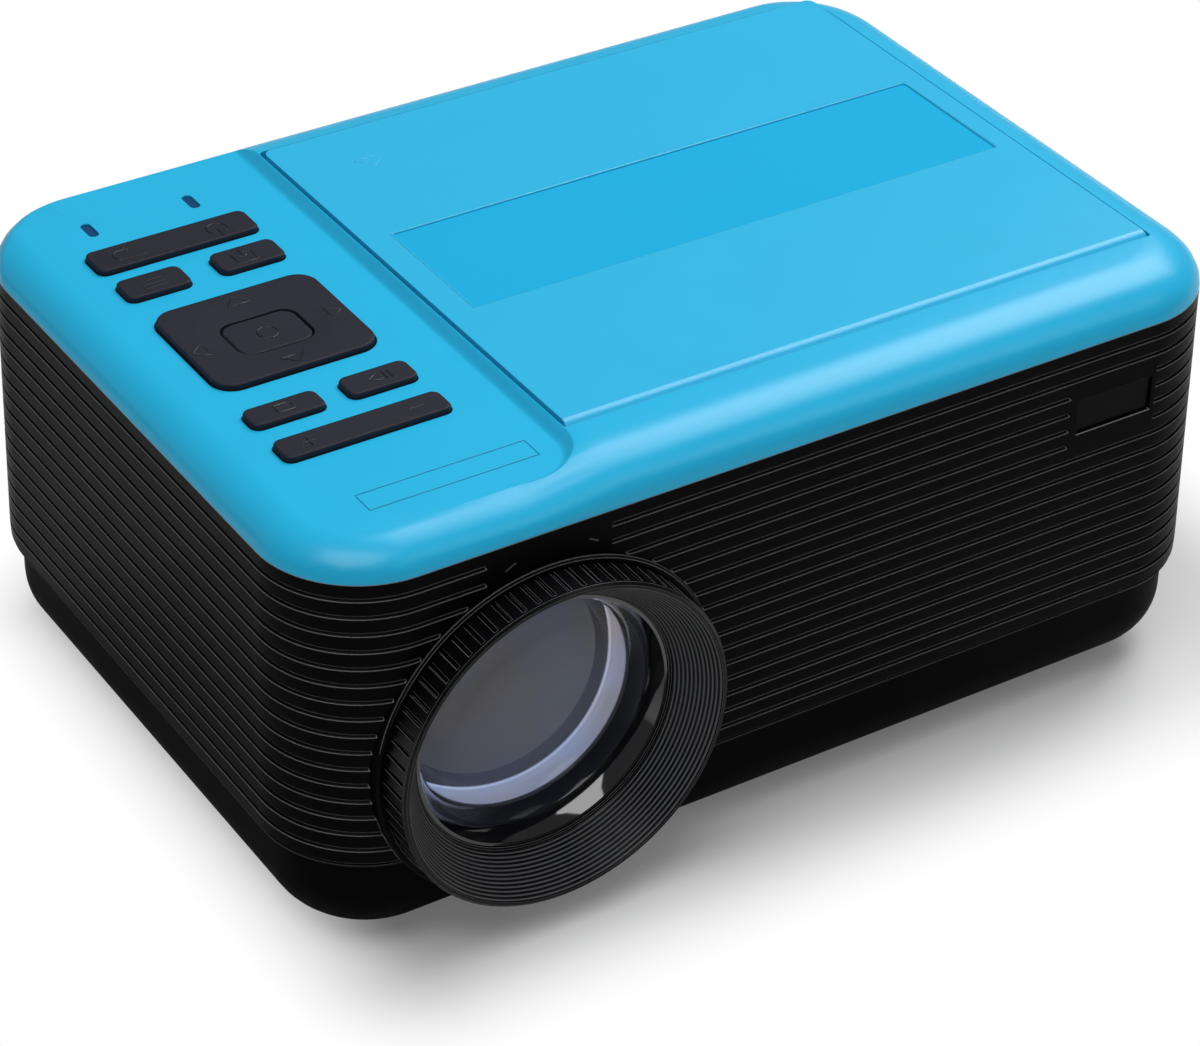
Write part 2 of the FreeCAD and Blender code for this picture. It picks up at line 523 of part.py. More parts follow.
def speaker_holes():
    step = SPEAKER_R * 0.8 / SPEAKER_ROWS
    spots = []
    for i in range(-SPEAKER_ROWS, SPEAKER_ROWS + 1):
        for j in range(-SPEAKER_ROWS, SPEAKER_ROWS + 1):
            if i * i + j * j <= SPEAKER_ROWS ** 2 and (i + j) % 2 == 0:
                spots.append((SPEAKER_Y + i * step, SPEAKER_Z + j * step))
    return spots


def foot_spots():
    return [(x, y) for x in (FOOT_IN, WIDTH - FOOT_IN) for y in (FOOT_IN, DEPTH - FOOT_IN)]


def bottom_case():
    z0 = FOOT_STAND
    outer = case_outline(BASE_IN, z0, CASE_SPLIT_Z)
    outer = outer.makeFillet(BOTTOM_EDGE_R, edges_at(outer, z0))
    inner = case_outline(BASE_IN + WALL, z0 + WALL, CASE_SPLIT_Z + 1)
    inner = inner.makeFillet(BOTTOM_EDGE_R - WALL, edges_at(inner, z0 + WALL))
    within = z0 + WALL / 2
    bosses = [post(x, y, within, CASE_SPLIT_Z, POST_R) for x, y in case_posts()]
    bosses.append(post(TRIPOD_X, TRIPOD_Y, within, z0 + TRIPOD_HIGH + WALL, INSERT_R + TRIPOD_WALL))
    bosses += [post(x, y, within, MAIN_BOARD_Z, BOARD_POST_WIDE) for x, y in board_posts()]
    bosses += [post(x, y, within, z0 + WALL + FOOT_SUNK, FOOT_R + WALL / 2) for x, y in foot_spots()]
    bosses += engine_feet()
    column = case_outline(BASE_IN + WALL, CASE_SPLIT_Z, MAIN_BOARD_Z)
    tray = fuse([outer.cut(inner)] + [boss.common(fuse([outer, column])) for boss in bosses])
    holes = [lens_cut()]
    holes += [post(x, y, z0 - 1, CASE_SPLIT_Z + 1, PILOT_R + 0.3) for x, y in case_posts()]
    holes += [post(x, y, z0 - 1, z0 + SCREW_HEAD_SUNK, SCREW_HEAD_R + 0.2) for x, y in case_posts()]
    holes += [post(x, y, z0 - 1, z0 + FOOT_SUNK, FOOT_R) for x, y in foot_spots()]
    holes.append(post(TRIPOD_X, TRIPOD_Y, z0 - 1, z0 + TRIPOD_HIGH, INSERT_R))
    x1 = WIDTH - VENT_RIGHT
    for i in range(VENT_COUNT):
        y = DEPTH / 2 + (i - (VENT_COUNT - 1) / 2) * VENT_PITCH
        holes.append(slab(x1 - VENT_LONG, x1, y - VENT_WIDE / 2, y + VENT_WIDE / 2, z0 - 1, z0 + WALL + 1,
                          VENT_WIDE / 2 - 0.05))
    return cut(tray, holes)


def case_screws():
    screws = []
    for x, y in case_posts():
        seat = FOOT_STAND + SCREW_HEAD_SUNK
        low = seat - SCREW_HEAD_THICK
        head = post(x, y, low, seat, SCREW_HEAD_R)
        socket = post(x, y, low - 1, low + SCREW_SOCKET_DEEP, SCREW_SOCKET_R)
        shank = post(x, y, seat - 0.5, seat - 0.5 + SCREW_LONG, SCREW_R)
        screws.append(fuse([head, shank]).cut(socket))
    return Part.makeCompound(screws)


def rubber_feet():
    feet = []
    for x, y in foot_spots():
        foot = post(x, y, 0, FOOT_STAND + FOOT_SUNK, FOOT_R - SNUG / 2)
        feet.append(foot.makeFillet(FOOT_EDGE_R, edges_at(foot, 0)))
    return Part.makeCompound(feet)


def tripod_insert():
    z0, z1 = FOOT_STAND + INSERT_SUNK, FOOT_STAND + TRIPOD_HIGH
    body = post(TRIPOD_X, TRIPOD_Y, z0, z1, INSERT_R - SNUG / 2)
    return body.cut(post(TRIPOD_X, TRIPOD_Y, z0 - 1, z1, THREAD_R))


def lens_collar():
    r_out = COLLAR_BORE_R + COLLAR_WALL
    lip = 0.5
    return turned([(COLLAR_BORE_R, -COLLAR_OUT), (r_out - lip, -COLLAR_OUT), (r_out, lip - COLLAR_OUT),
                   (r_out, COLLAR_DEEP), (COLLAR_BORE_R, COLLAR_DEEP)])


# ---- top cover -------------------------------------------------------------------------------------------


def dome(inset, low, high):
    """The cover's filled form. low and high are the side curves' reach inward and upward.

    Beside the panel the form has the low curve, which starts BACK_REACH behind the back face, so that the
    high curve trims it there. Further right it has the high curve all round.
    """

    def rise(reach):
        return quarter(inset, SEAM_Z, inset + reach[0], SEAM_Z + reach[1])

    def filled(reach):
        level = SEAM_Z + reach[1]
        ring = rise(reach) + [(CORNER_R - 0.01, level), (CORNER_R - 0.01, SEAM_Z)]
        return fuse([around_case(ring), case_outline(CORNER_R - 0.1, SEAM_Z, level)])

    def section(x, reach):
        points = [at(x, u, z) for u, z in rise(reach)]
        points += [at(x, DEPTH + BACK_REACH - u, z) for u, z in reversed(rise(reach))]
        return Part.makePolygon(points + points[:1])

    whole = filled(high)
    low_form = filled(low)
    shifted = low_form.copy()
    shifted.translate(Vec(0, BACK_REACH, 0))
    left = fuse([low_form, shifted]).common(box(-1, BLEND_X0, -1, 2 * DEPTH, SEAM_Z - 1, TOP_Z + 1))
    middle = Part.makeLoft([section(BLEND_X0, low), section(BLEND_X1, high)], True, True)
    right = whole.common(box(BLEND_X1, WIDTH + 1, -1, DEPTH + 1, SEAM_Z - 1, TOP_Z + 1))
    return fuse([left.common(whole), middle.common(whole), right])


def panel_pocket():
    """Space above the key panel, with a ramp that rises to the lid and turns round the lid's front corner."""
    over, far_left, far_back = 5.0, -1.0, DEPTH + 1.0

    def level(out, z):
        right, front, r = PANEL_RIGHT + out, PANEL_FRONT - out, PANEL_CORNER_R + out
        diagonal = r * (1 - math.sqrt(0.5))
        before, after = at(right - r, front, z), at(right, front + r, z)
        bend = Part.Arc(before, at(right - diagonal, front + diagonal, z), after).toShape()
        sides = Part.makePolygon([after, at(right, far_back, z), at(far_left, far_back, z),
                                  at(far_left, front, z), before])
        return Part.Wire([bend] + sides.Edges)

    rings = []
    for k in range(RAMP_STEPS + 1):
        t = k / RAMP_STEPS
        lift = (TOP_Z - 0.02 - PANEL_Z) * (1 - math.cos(math.pi * t)) / 2
        rings.append(level(RAMP_WIDE * t, PANEL_Z + lift))
    rings.append(level(RAMP_WIDE, TOP_Z + over))
    ramp = Part.makeLoft(rings, True, True)
    return fuse([ramp, box(far_left, BLEND_X0, -1, far_back, PANEL_Z, TOP_Z + over)])


def label_lines():
    """Engraved outline of the label on the panel."""
    z0, w = PANEL_Z - LABEL_DEEP, LABEL_LINE
    outer = box(LABEL_X0, LABEL_X1, LABEL_Y0, LABEL_Y1, z0, PANEL_Z + 1)
    return outer.cut(box(LABEL_X0 + w, LABEL_X1 - w, LABEL_Y0 + w, LABEL_Y1 - w, z0 - 1, PANEL_Z + 2))


def top_cover():
    outer = dome(0, LOW_EDGE, HIGH_EDGE).cut(panel_pocket())
    inner = dome(WALL, (LOW_EDGE[0] - WALL, PANEL_RISE - WALL), (HIGH_EDGE[0] - WALL, LID_TOP_RISE - WALL))
    inner = inner.common(fuse([box(-1, PANEL_RIGHT, -1, DEPTH + 1, SEAM_Z - 1, PANEL_UNDER_Z),
                               box(PANEL_RIGHT, WIDTH + 1, -1, DEPTH + 1, SEAM_Z - 1, TOP_Z)]))
    cover = outer.cut(inner)
    skirt = box(HOLE_X0 - SKIRT_WALL, HOLE_X1 + SKIRT_WALL, HOLE_Y0 - SKIRT_WALL, HOLE_Y1 + SKIRT_WALL,
                DECK_TOP_Z, TOP_Z - WALL + 0.5)
    cover = fuse([cover, skirt.common(outer)] + rocker_hangers() + board_hangers())
    holes = [slab(HOLE_X0, HOLE_X1, HOLE_Y0, HOLE_Y1, DECK_TOP_Z - 1, TOP_Z + 1, 1.0), label_lines()]
    for x0, x1, y0, y1 in list(KEYS.values()) + list(ROCKERS.values()):
        holes.append(slab(x0 - KEY_GAP, x1 + KEY_GAP, y0 - KEY_GAP, y1 + KEY_GAP, PANEL_UNDER_Z - 0.1, TOP_Z,
                          KEY_CORNER_R + KEY_GAP))
    holes.append(slab(PAD_X0 - PAD_GAP, PAD_X1 + PAD_GAP, PAD_Y0 - PAD_GAP, PAD_Y1 + PAD_GAP,
                      PANEL_UNDER_Z - 0.1, TOP_Z, PAD_CORNER_R + PAD_GAP))
    for x in LIGHT_XS:
        holes.append(slab(x - LIGHT_WIDE / 2, x + LIGHT_WIDE / 2, LIGHT_Y0, LIGHT_Y1, PANEL_UNDER_Z - 1,
                          TOP_Z, LIGHT_WIDE / 2 - 0.02))
    holes += [rod_x(HINGE_Y, HINGE_Z, x0, x1, PIN_R + SNUG / 5) for x0, x1 in pin_spans()]
    return cut(cover, holes)


def pin_spans():
    """Each hinge pin's reach along X, from the cover's skirt into the lid."""
    return [(HOLE_X0 - SKIRT_WALL, LID_X0 + PIN_IN), (LID_X1 - PIN_IN, HOLE_X1 + SKIRT_WALL)]


def rocker_hangers():
    """Ears under the panel that carry the rocker keys' trunnions."""
    ears = []
    for x0, x1, y0, y1 in ROCKERS.values():
        x = (x0 + x1) / 2
        for ya in (y0 - KEY_FLANGE - SEAT - HANGER_WALL, y1 + KEY_FLANGE + SEAT):
            ear = box(x - HANGER_HALF, x + HANGER_HALF, ya, ya + HANGER_WALL, ROCK_Z - HANGER_LOW,
                      PANEL_UNDER_Z + 0.5)
            ears.append(ear.cut(rod_y(x, ROCK_Z, ya - 1, ya + HANGER_WALL + 1, TRUNNION_R + RUN)))
    return ears


def board_spots():
    inset = KEYPAD_POST_IN
    return [(x, y) for x in (KEYPAD_X0 + inset, KEYPAD_X1 - inset)
            for y in (KEYPAD_Y0 + inset, KEYPAD_Y1 - inset)]


def board_hangers():
    return [post(x, y, KEYPAD_TOP_Z, PANEL_UNDER_Z + 0.5, BOARD_POST_R) for x, y in board_spots()]


# ---- keys ------------------------------------------------------------------------------------------------
def keycap(x0, x1, y0, y1, z0, r):
    cap = slab(x0, x1, y0, y1, z0, KEY_TOP_Z, r)
    return cap.makeFillet(KEY_EDGE_R, edges_at(cap, KEY_TOP_Z))


def push_key(x0, x1, y0, y1):
    flange_top = PANEL_UNDER_Z - SEAT
    flange = slab(x0 - KEY_FLANGE, x1 + KEY_FLANGE, y0 - KEY_FLANGE, y1 + KEY_FLANGE,
                  flange_top - KEY_FLANGE_THICK, flange_top, KEY_CORNER_R + KEY_FLANGE)
    cap = keycap(x0, x1, y0, y1, flange_top - KEY_FLANGE_THICK / 2, KEY_CORNER_R)
    stem = post((x0 + x1) / 2, (y0 + y1) / 2, STEM_END_Z, flange_top - KEY_FLANGE_THICK / 2, KEY_STEM_R)
    return fuse([cap, flange, stem])


def rocker_key(x0, x1, y0, y1):
    x, y = (x0 + x1) / 2, (y0 + y1) / 2
    top = ROCK_Z + 0.2
    plate = slab(x0 - KEY_FLANGE, x1 + KEY_FLANGE, y0 - KEY_FLANGE, y1 + KEY_FLANGE, top - KEY_FLANGE_THICK,
                 top, KEY_CORNER_R + KEY_FLANGE)
    cap = keycap(x0, x1, y0, y1, top - KEY_FLANGE_THICK / 2, KEY_CORNER_R)
    reach = KEY_FLANGE + SEAT + HANGER_WALL
    trunnion = rod_y(x, ROCK_Z, y0 - reach, y1 + reach, TRUNNION_R)
    stems = [post(x + out, y, STEM_END_Z, top - KEY_FLANGE_THICK / 2, KEY_STEM_R)
             for out in (-ROCKER_SWITCH_OUT, ROCKER_SWITCH_OUT)]
    return fuse([cap, plate, trunnion] + stems)


def dpad():
    out = PAD_FLANGE
    flange = slab(PAD_X0 - out, PAD_X1 + out, PAD_Y0 - out, PAD_Y1 + out, PAD_UNDER_Z,
                  PAD_UNDER_Z + PAD_FLANGE_THICK, PAD_CORNER_R + out)
    cap = keycap(PAD_X0, PAD_X1, PAD_Y0, PAD_Y1, PAD_UNDER_Z + 0.5, PAD_CORNER_R)
    dish = Part.makeSphere(PAD_DISH_R, at(PAD_X, PAD_Y, KEY_TOP_Z - PAD_DISH_DEEP + PAD_DISH_R))
    half_x, half_y = OK_WIDE / 2 + PAD_GAP, OK_DEEP / 2 + PAD_GAP
    hole = slab(PAD_X - half_x, PAD_X + half_x, OK_Y - half_y, OK_Y + half_y, PAD_UNDER_Z - 1, KEY_TOP_Z + 1,
                OK_CORNER_R + PAD_GAP)
    body = fuse([flange, cap]).cut([dish, hole])
    ears = []
    for side in (-1, 1):
        y_in = GIMBAL_HALF_Y + SEAT
        ya, yb = sorted((PAD_Y + side * y_in, PAD_Y + side * (y_in + EAR_THICK)))
        ear = box(PAD_X - EAR_HALF, PAD_X + EAR_HALF, ya, yb, GIMBAL_Z - 1.5, PAD_UNDER_Z + 0.6)
        ears.append(ear.cut(rod_y(PAD_X, GIMBAL_Z, ya - 1, yb + 1, GIMBAL_PIN_R + RUN)))
    stems = [post(PAD_X + dx, PAD_Y + dy, STEM_END_Z, PAD_UNDER_Z + 0.6, KEY_STEM_R)
             for dx, dy in pad_switches()]
    return fuse([body] + ears + stems)


def pad_switches():
    return [(-PAD_SWITCH_X, 0), (PAD_SWITCH_X, 0), (0, -PAD_SWITCH_Y), (0, PAD_SWITCH_Y)]


def dpad_pivot():
    """Gimbal plate with a pin on each side."""
    z0, z1 = GIMBAL_Z - GIMBAL_THICK / 2, GIMBAL_Z + GIMBAL_THICK / 2
    half_x, half_y, bar = GIMBAL_HALF_X, GIMBAL_HALF_Y, GIMBAL_BAR
    plate = slab(PAD_X - half_x, PAD_X + half_x, PAD_Y - half_y, PAD_Y + half_y, z0, z1, 2.0)
    hole = slab(PAD_X - half_x + bar, PAD_X + half_x - bar, PAD_Y - half_y + bar, PAD_Y + half_y - bar,
                z0 - 1, z1 + 1, 1.0)
    reach = SEAT + EAR_THICK
    pins = [rod_x(PAD_Y, GIMBAL_Z, PAD_X - half_x - reach, PAD_X - half_x + 1, GIMBAL_PIN_R),
            rod_x(PAD_Y, GIMBAL_Z, PAD_X + half_x - 1, PAD_X + half_x + reach, GIMBAL_PIN_R),
            rod_y(PAD_X, GIMBAL_Z, PAD_Y - half_y - reach, PAD_Y - half_y + 1, GIMBAL_PIN_R),
            rod_y(PAD_X, GIMBAL_Z, PAD_Y + half_y - 1, PAD_Y + half_y + reach, GIMBAL_PIN_R)]
    return fuse([plate.cut(hole)] + pins)


def ok_key():
    top = KEY_TOP_Z - OK_DROP
    cap = slab(PAD_X - OK_WIDE / 2, PAD_X + OK_WIDE / 2, OK_Y - OK_DEEP / 2, OK_Y + OK_DEEP / 2,
               PAD_UNDER_Z + 0.2, top, OK_CORNER_R)
    cap = cap.makeFillet(KEY_EDGE_R, edges_at(cap, top))
    return fuse([cap, post(PAD_X, PAD_Y, STEM_END_Z, PAD_UNDER_Z + 1, KEY_STEM_R)])


def switch_spots():
    spots = [((x0 + x1) / 2, (y0 + y1) / 2) for x0, x1, y0, y1 in KEYS.values()]
    for x0, x1, y0, y1 in ROCKERS.values():
        spots += [((x0 + x1) / 2 + out, (y0 + y1) / 2) for out in (-ROCKER_SWITCH_OUT, ROCKER_SWITCH_OUT)]
    spots += [(PAD_X + dx, PAD_Y + dy) for dx, dy in pad_switches() + [(0, 0)]]
    return spots


def tact_switches():
    half = SWITCH_SIZE / 2
    return Part.makeCompound([
        fuse([box(x - half, x + half, y - half, y + half, KEYPAD_TOP_Z, KEYPAD_TOP_Z + SWITCH_BODY),
              post(x, y, KEYPAD_TOP_Z, SWITCH_TOP_Z, SWITCH_BUTTON_R)]) for x, y in switch_spots()])


def keypad_board():
    pieces = [box(KEYPAD_X0, KEYPAD_X1, KEYPAD_Y0, KEYPAD_Y1, KEYPAD_TOP_Z - BOARD_THICK, KEYPAD_TOP_Z)]
    for side in (-1, 1):
        x_in = GIMBAL_HALF_X + SEAT
        xa, xb = sorted((PAD_X + side * x_in, PAD_X + side * (x_in + EAR_THICK)))
        ear = box(xa, xb, PAD_Y - EAR_HALF, PAD_Y + EAR_HALF, KEYPAD_TOP_Z - 0.5, GIMBAL_Z + 1.0)
        pieces.append(ear.cut(rod_x(PAD_Y, GIMBAL_Z, xa - 1, xb + 1, GIMBAL_PIN_R + RUN)))
    middle, half = (LIGHT_Y0 + LIGHT_Y1) / 2, LIGHT_CHIP_HALF
    for x in LIGHT_XS:
        pieces.append(box(x - half, x + half, middle - half, middle + half, KEYPAD_TOP_Z - 0.5,
                          KEYPAD_TOP_Z + LIGHT_CHIP_HIGH))
    return fuse(pieces)


def light_pipes():
    half = LIGHT_WIDE / 2 - SNUG / 2
    return Part.makeCompound([
        slab(x - half, x + half, LIGHT_Y0 + SNUG / 2, LIGHT_Y1 - SNUG / 2,
             KEYPAD_TOP_Z + LIGHT_CHIP_HIGH + SEAT, PANEL_Z - LIGHT_SUNK, half - 0.02) for x in LIGHT_XS])


# ---- lid and disc drive ----------------------------------------------------------------------------------
def lid():
    plate = slab(LID_X0, LID_X1, LID_Y0, LID_Y1, LID_UNDER_Z, TOP_Z, LID_CORNER_R)
    plate = plate.common(box(LID_X0, LID_X1, HINGE_Y, LID_Y1, LID_UNDER_Z, TOP_Z))
    barrel = rod_x(HINGE_Y, HINGE_Z, LID_X0, LID_X1, HINGE_R)
    stripe = slab(STRIPE_X0, STRIPE_X1, STRIPE_Y0, STRIPE_Y1, TOP_Z - STRIPE_DEEP, TOP_Z + 1, 0.6)
    lip_z, into = DECK_TOP_Z + 1.2, LID_UNDER_Z + 0.5
    near, far = 1.0, 1.0 + LID_LIP
    lip_y = HINGE_Y + 9
    lips = [box(LID_X0 + near, LID_X0 + far, lip_y, LID_Y1 - near, lip_z, into),
            box(LID_X1 - far, LID_X1 - near, lip_y, LID_Y1 - near, lip_z, into),
            box(LID_X0 + near, LID_X1 - near, LID_Y1 - far, LID_Y1 - near, lip_z, into)]
    hook = box(SPINDLE_X - 4, SPINDLE_X + 4, LID_Y1 - far, LID_Y1 - near, DECK_TOP_Z - 3.5, into)
    body = fuse([plate, barrel, hook] + lips)
    bores = [rod_x(HINGE_Y, HINGE_Z, x0, x1, PIN_R + RUN) for x0, x1 in pin_spans()]
    ring_r = DISC_R - 22
    ring = spun([(ring_r, LID_UNDER_Z - 0.8), (ring_r + 1.5, LID_UNDER_Z - 0.8),
                 (ring_r + 1.5, LID_UNDER_Z + 0.3), (ring_r, LID_UNDER_Z + 0.3)], SPINDLE_X, SPINDLE_Y)
    return fuse([body.cut([stripe] + bores), ring])


def lid_hinge_pins():
    return Part.makeCompound([rod_x(HINGE_Y, HINGE_Z, x0, x1, PIN_R) for x0, x1 in pin_spans()])


def drive_posts():
    return [(SPINDLE_X + dx, SPINDLE_Y + dy) for dx in DRIVE_POST_XS for dy in (-DRIVE_POST_Y, DRIVE_POST_Y)]


def disc_deck():
    floor_under = WELL_FLOOR_Z - DECK_THICK
    plate = slab(DECK_X0, DECK_X1, DECK_Y0, DECK_Y1, DECK_TOP_Z - DECK_THICK, DECK_TOP_Z, DECK_CORNER_R)
    bowl = post(SPINDLE_X, SPINDLE_Y, floor_under, DECK_TOP_Z, WELL_R + DECK_THICK)
    body = fuse([plate, bowl])
    well = spun([(0, WELL_FLOOR_Z), (WELL_R - 3, WELL_FLOOR_Z), (WELL_R, WELL_FLOOR_Z + 1.0),
                 (WELL_R, DECK_TOP_Z + 1), (0, DECK_TOP_Z + 1)], SPINDLE_X, SPINDLE_Y)
    bosses = [post(x, y, DAMPER_Z + DAMPER_HIGH, floor_under + 0.3, DRIVE_POST_R) for x, y in drive_posts()]
    body = fuse([body.cut(well)] + bosses)
    hub_hole = post(SPINDLE_X, SPINDLE_Y, floor_under - 1, DECK_TOP_Z, TURNTABLE_R + 2.0)
    slot = slab(SPINDLE_X, SPINDLE_X + SLED_REST + SLED_TRAVEL + 5, SPINDLE_Y - SLOT_HALF,
                SPINDLE_Y + SLOT_HALF, floor_under - 1, WELL_FLOOR_Z + 1.5, 4.0)
    catch = box(SPINDLE_X - CATCH_HALF, SPINDLE_X + CATCH_HALF, LID_Y1 - 3.0, LID_Y1 - 0.2,
                floor_under - 1, DECK_TOP_Z + 1)
    hinge_room = rod_x(HINGE_Y, HINGE_Z, LID_X0 - 1, LID_X1 + 1, HINGE_R + 0.4)
    return body.cut([hub_hole, slot, catch, hinge_room])


def lid_catch():
    """A spring clip under the deck, behind the lid's hook."""
    z1 = DECK_TOP_Z - DECK_THICK
    base = box(SPINDLE_X - CATCH_HALF, SPINDLE_X + CATCH_HALF, LID_Y1 + 0.2, LID_Y1 + 2.8, z1 - 1.0, z1)
    leaf = box(SPINDLE_X - 3, SPINDLE_X + 3, LID_Y1 + 0.2, LID_Y1 + 0.8, z1 - 5.0, z1)
    nose = rod_x(LID_Y1 + 0.2, z1 - 3.6, SPINDLE_X - 3, SPINDLE_X + 3, 0.7)
    return fuse([base, leaf, nose])


def chassis_lugs():
    lugs = []
    for y in (SPINDLE_Y - ROD_HALF, SPINDLE_Y + ROD_HALF, SCREW_Y):
        for x in (ROD_X0, ROD_X1 - LUG_THICK):
            lugs.append(box(x, x + LUG_THICK, y - LUG_HALF, y + LUG_HALF, CHASSIS_Z, ROD_Z + LUG_HALF))
    return lugs


def drive_chassis():
    plate = slab(CHASSIS_X0, CHASSIS_X1, SPINDLE_Y - CHASSIS_HALF_Y, SPINDLE_Y + CHASSIS_HALF_Y, CHASSIS_Z,
                 CHASSIS_Z + CHASSIS_THICK, 4.0)
    window = slab(ROD_X0 + 2.5, ROD_X1 - 2.5, SPINDLE_Y - ROD_HALF + 4, SPINDLE_Y + ROD_HALF - 4,
                  CHASSIS_Z - 1, CHASSIS_Z + CHASSIS_THICK + 1, 2.0)
    body = fuse([plate.cut(window)] + chassis_lugs())
    holes = [rod_x(y, ROD_Z, ROD_X0 - 1, ROD_X1 + 1, ROD_R + SNUG / 5)
             for y in (SPINDLE_Y - ROD_HALF, SPINDLE_Y + ROD_HALF)]
    holes.append(rod_x(SCREW_Y, ROD_Z, ROD_X0 - 1, ROD_X1 + 1, LEAD_R - LEAD_ROOT + RUN))
    return cut(body, holes)


def chassis_dampers():
    return Part.makeCompound([
        spun([(0, DAMPER_Z), (DAMPER_R, DAMPER_Z), (DAMPER_R - DAMPER_WAIST, DAMPER_Z + DAMPER_HIGH / 2),
              (DAMPER_R, DAMPER_Z + DAMPER_HIGH), (0, DAMPER_Z + DAMPER_HIGH)], x, y)
        for x, y in drive_posts()])


def spindle_motor():
    z0 = CHASSIS_Z + CHASSIS_THICK
    can = post(SPINDLE_X, SPINDLE_Y, z0, z0 + MOTOR_HIGH, MOTOR_R)
    can = can.makeFillet(1.0, edges_at(can, z0 + MOTOR_HIGH))
    return fuse([can, post(SPINDLE_X, SPINDLE_Y, z0 + 1, DISC_Z, SHAFT_R)])


def turntable():
    z_low = CHASSIS_Z + CHASSIS_THICK + MOTOR_HIGH + SEAT
    bore = SHAFT_R + RUN
    table_z, hub_z = DISC_Z - TURNTABLE_THICK, DISC_Z + 2.4
    body = spun([(bore, z_low), (5, z_low), (5, table_z), (TURNTABLE_R, table_z), (TURNTABLE_R, DISC_Z),
                 (HUB_R, DISC_Z), (HUB_R, DISC_Z + 1.2), (HUB_R - 1.4, hub_z), (bore, hub_z)],
                SPINDLE_X, SPINDLE_Y)
    balls = []
    for k in range(3):
        a = 2 * math.pi * k / 3
        balls.append(Part.makeSphere(1.2, at(SPINDLE_X + (HUB_R - 0.7) * math.cos(a),
                                             SPINDLE_Y + (HUB_R - 0.7) * math.sin(a), DISC_Z + 1.1)))
    return fuse([body] + balls)


def pickup_sled():
    x = SPINDLE_X + SLED_REST
    z0, z1 = ROD_Z - SLED_HALF_Z, ROD_Z + SLED_HALF_Z
    half_y = SLED_HALF_Y - 1
    body = slab(x - SLED_IN, x + SLED_OUT, SPINDLE_Y - half_y, SPINDLE_Y + half_y, z0, z1, 1.5)
    turret = slab(x - 7, x + 4.3, SPINDLE_Y - SLOT_HALF + 2, SPINDLE_Y + SLOT_HALF - 2, z1 - 1,
                  WELL_FLOOR_Z - 0.6, 2.0)
    objective = post(x, SPINDLE_Y, WELL_FLOOR_Z - 1.5, WELL_FLOOR_Z + 0.5, 3.2)
    arm = box(x - 4, x + 4, SPINDLE_Y + SLED_HALF_Y - 3, SCREW_Y + 3.2, ROD_Z + LEAD_R + 0.4, z1)
    nut = box(x - 4, x + 4, SCREW_Y + LEAD_R + 0.4, SCREW_Y + 3.2, ROD_Z - 1.5, z1)
    sled = fuse([body, turret, objective, arm, nut])
    bores = [rod_x(SPINDLE_Y + side * ROD_HALF, ROD_Z, x - SLED_IN - 1, x + SLED_OUT + 1, ROD_R + RUN)
             for side in (-1, 1)]
    return cut(sled, bores)


def guide_rods():
    return Part.makeCompound([rod_x(SPINDLE_Y + side * ROD_HALF, ROD_Z, ROD_X0, ROD_X1, ROD_R)
                              for side in (-1, 1)])


def lead_screw():
    core = rod_x(SCREW_Y, ROD_Z, ROD_X0 - 3.0, ROD_X1, LEAD_R - LEAD_ROOT)
    clear = LUG_THICK + 0.4
    thread = rod_x(SCREW_Y, ROD_Z, ROD_X0 + clear, ROD_X1 - clear, LEAD_R)
    return fuse([core, thread])


def sled_motor():
    x1 = ROD_X0 - SEAT
    can = rod_x(SCREW_Y, ROD_Z, x1 - SLED_MOTOR_LONG, x1, SLED_MOTOR_R)
    seat = box(x1 - SLED_MOTOR_LONG + 2, x1 - 2, SCREW_Y - 4, SCREW_Y + 4, CHASSIS_Z + CHASSIS_THICK, ROD_Z)
    bore = rod_x(SCREW_Y, ROD_Z, x1 - 4.0, x1 + 1, LEAD_R - LEAD_ROOT + RUN)
    return fuse([can, seat]).cut(bore)


# ---- focus ring and lens ---------------------------------------------------------------------------------
def focus_ring():
    """Toothed ring with a ringed funnel that leads to the lens."""
    front = -HOOD_OUT
    root_r = RING_R - TOOTH_DEEP
    mouth_r = root_r - FUNNEL_LIP + 0.4
    end_r = BARREL_R + FUNNEL_END_OUT
    outline = [(mouth_r, front), (RING_R - 0.6, front), (RING_R, front + 0.5), (RING_R, RING_BACK - 3.0),
               (root_r, RING_BACK - 2.5), (root_r, RING_BACK), (BARREL_R + RUN, RING_BACK),
               (BARREL_R + RUN, FUNNEL_FOOT), (end_r, FUNNEL_FOOT)]
    for k in range(FUNNEL_RING_COUNT):
        t = k / FUNNEL_RING_COUNT
        r = end_r + (mouth_r - end_r) * t
        y = front * t
        outline.append((r, y))
        if k:
            outline.append((r + FUNNEL_RING_DEEP, y - FUNNEL_RING_DEEP / 2))
    ring = turned(outline)
    gap = box(LENS_X - TOOTH_GAP / 2, LENS_X + TOOTH_GAP / 2, front + RIM_LIP, RING_BACK - 4.0,
              LENS_Z + root_r, LENS_Z + RING_R + 1)
    gaps = []
    for k in range(TOOTH_COUNT):
        notch = gap.copy()
        notch.rotate(at(LENS_X, 0, LENS_Z), Vec(0, 1, 0), 360.0 * k / TOOTH_COUNT)
        gaps.append(notch)
    return ring.cut(gaps)


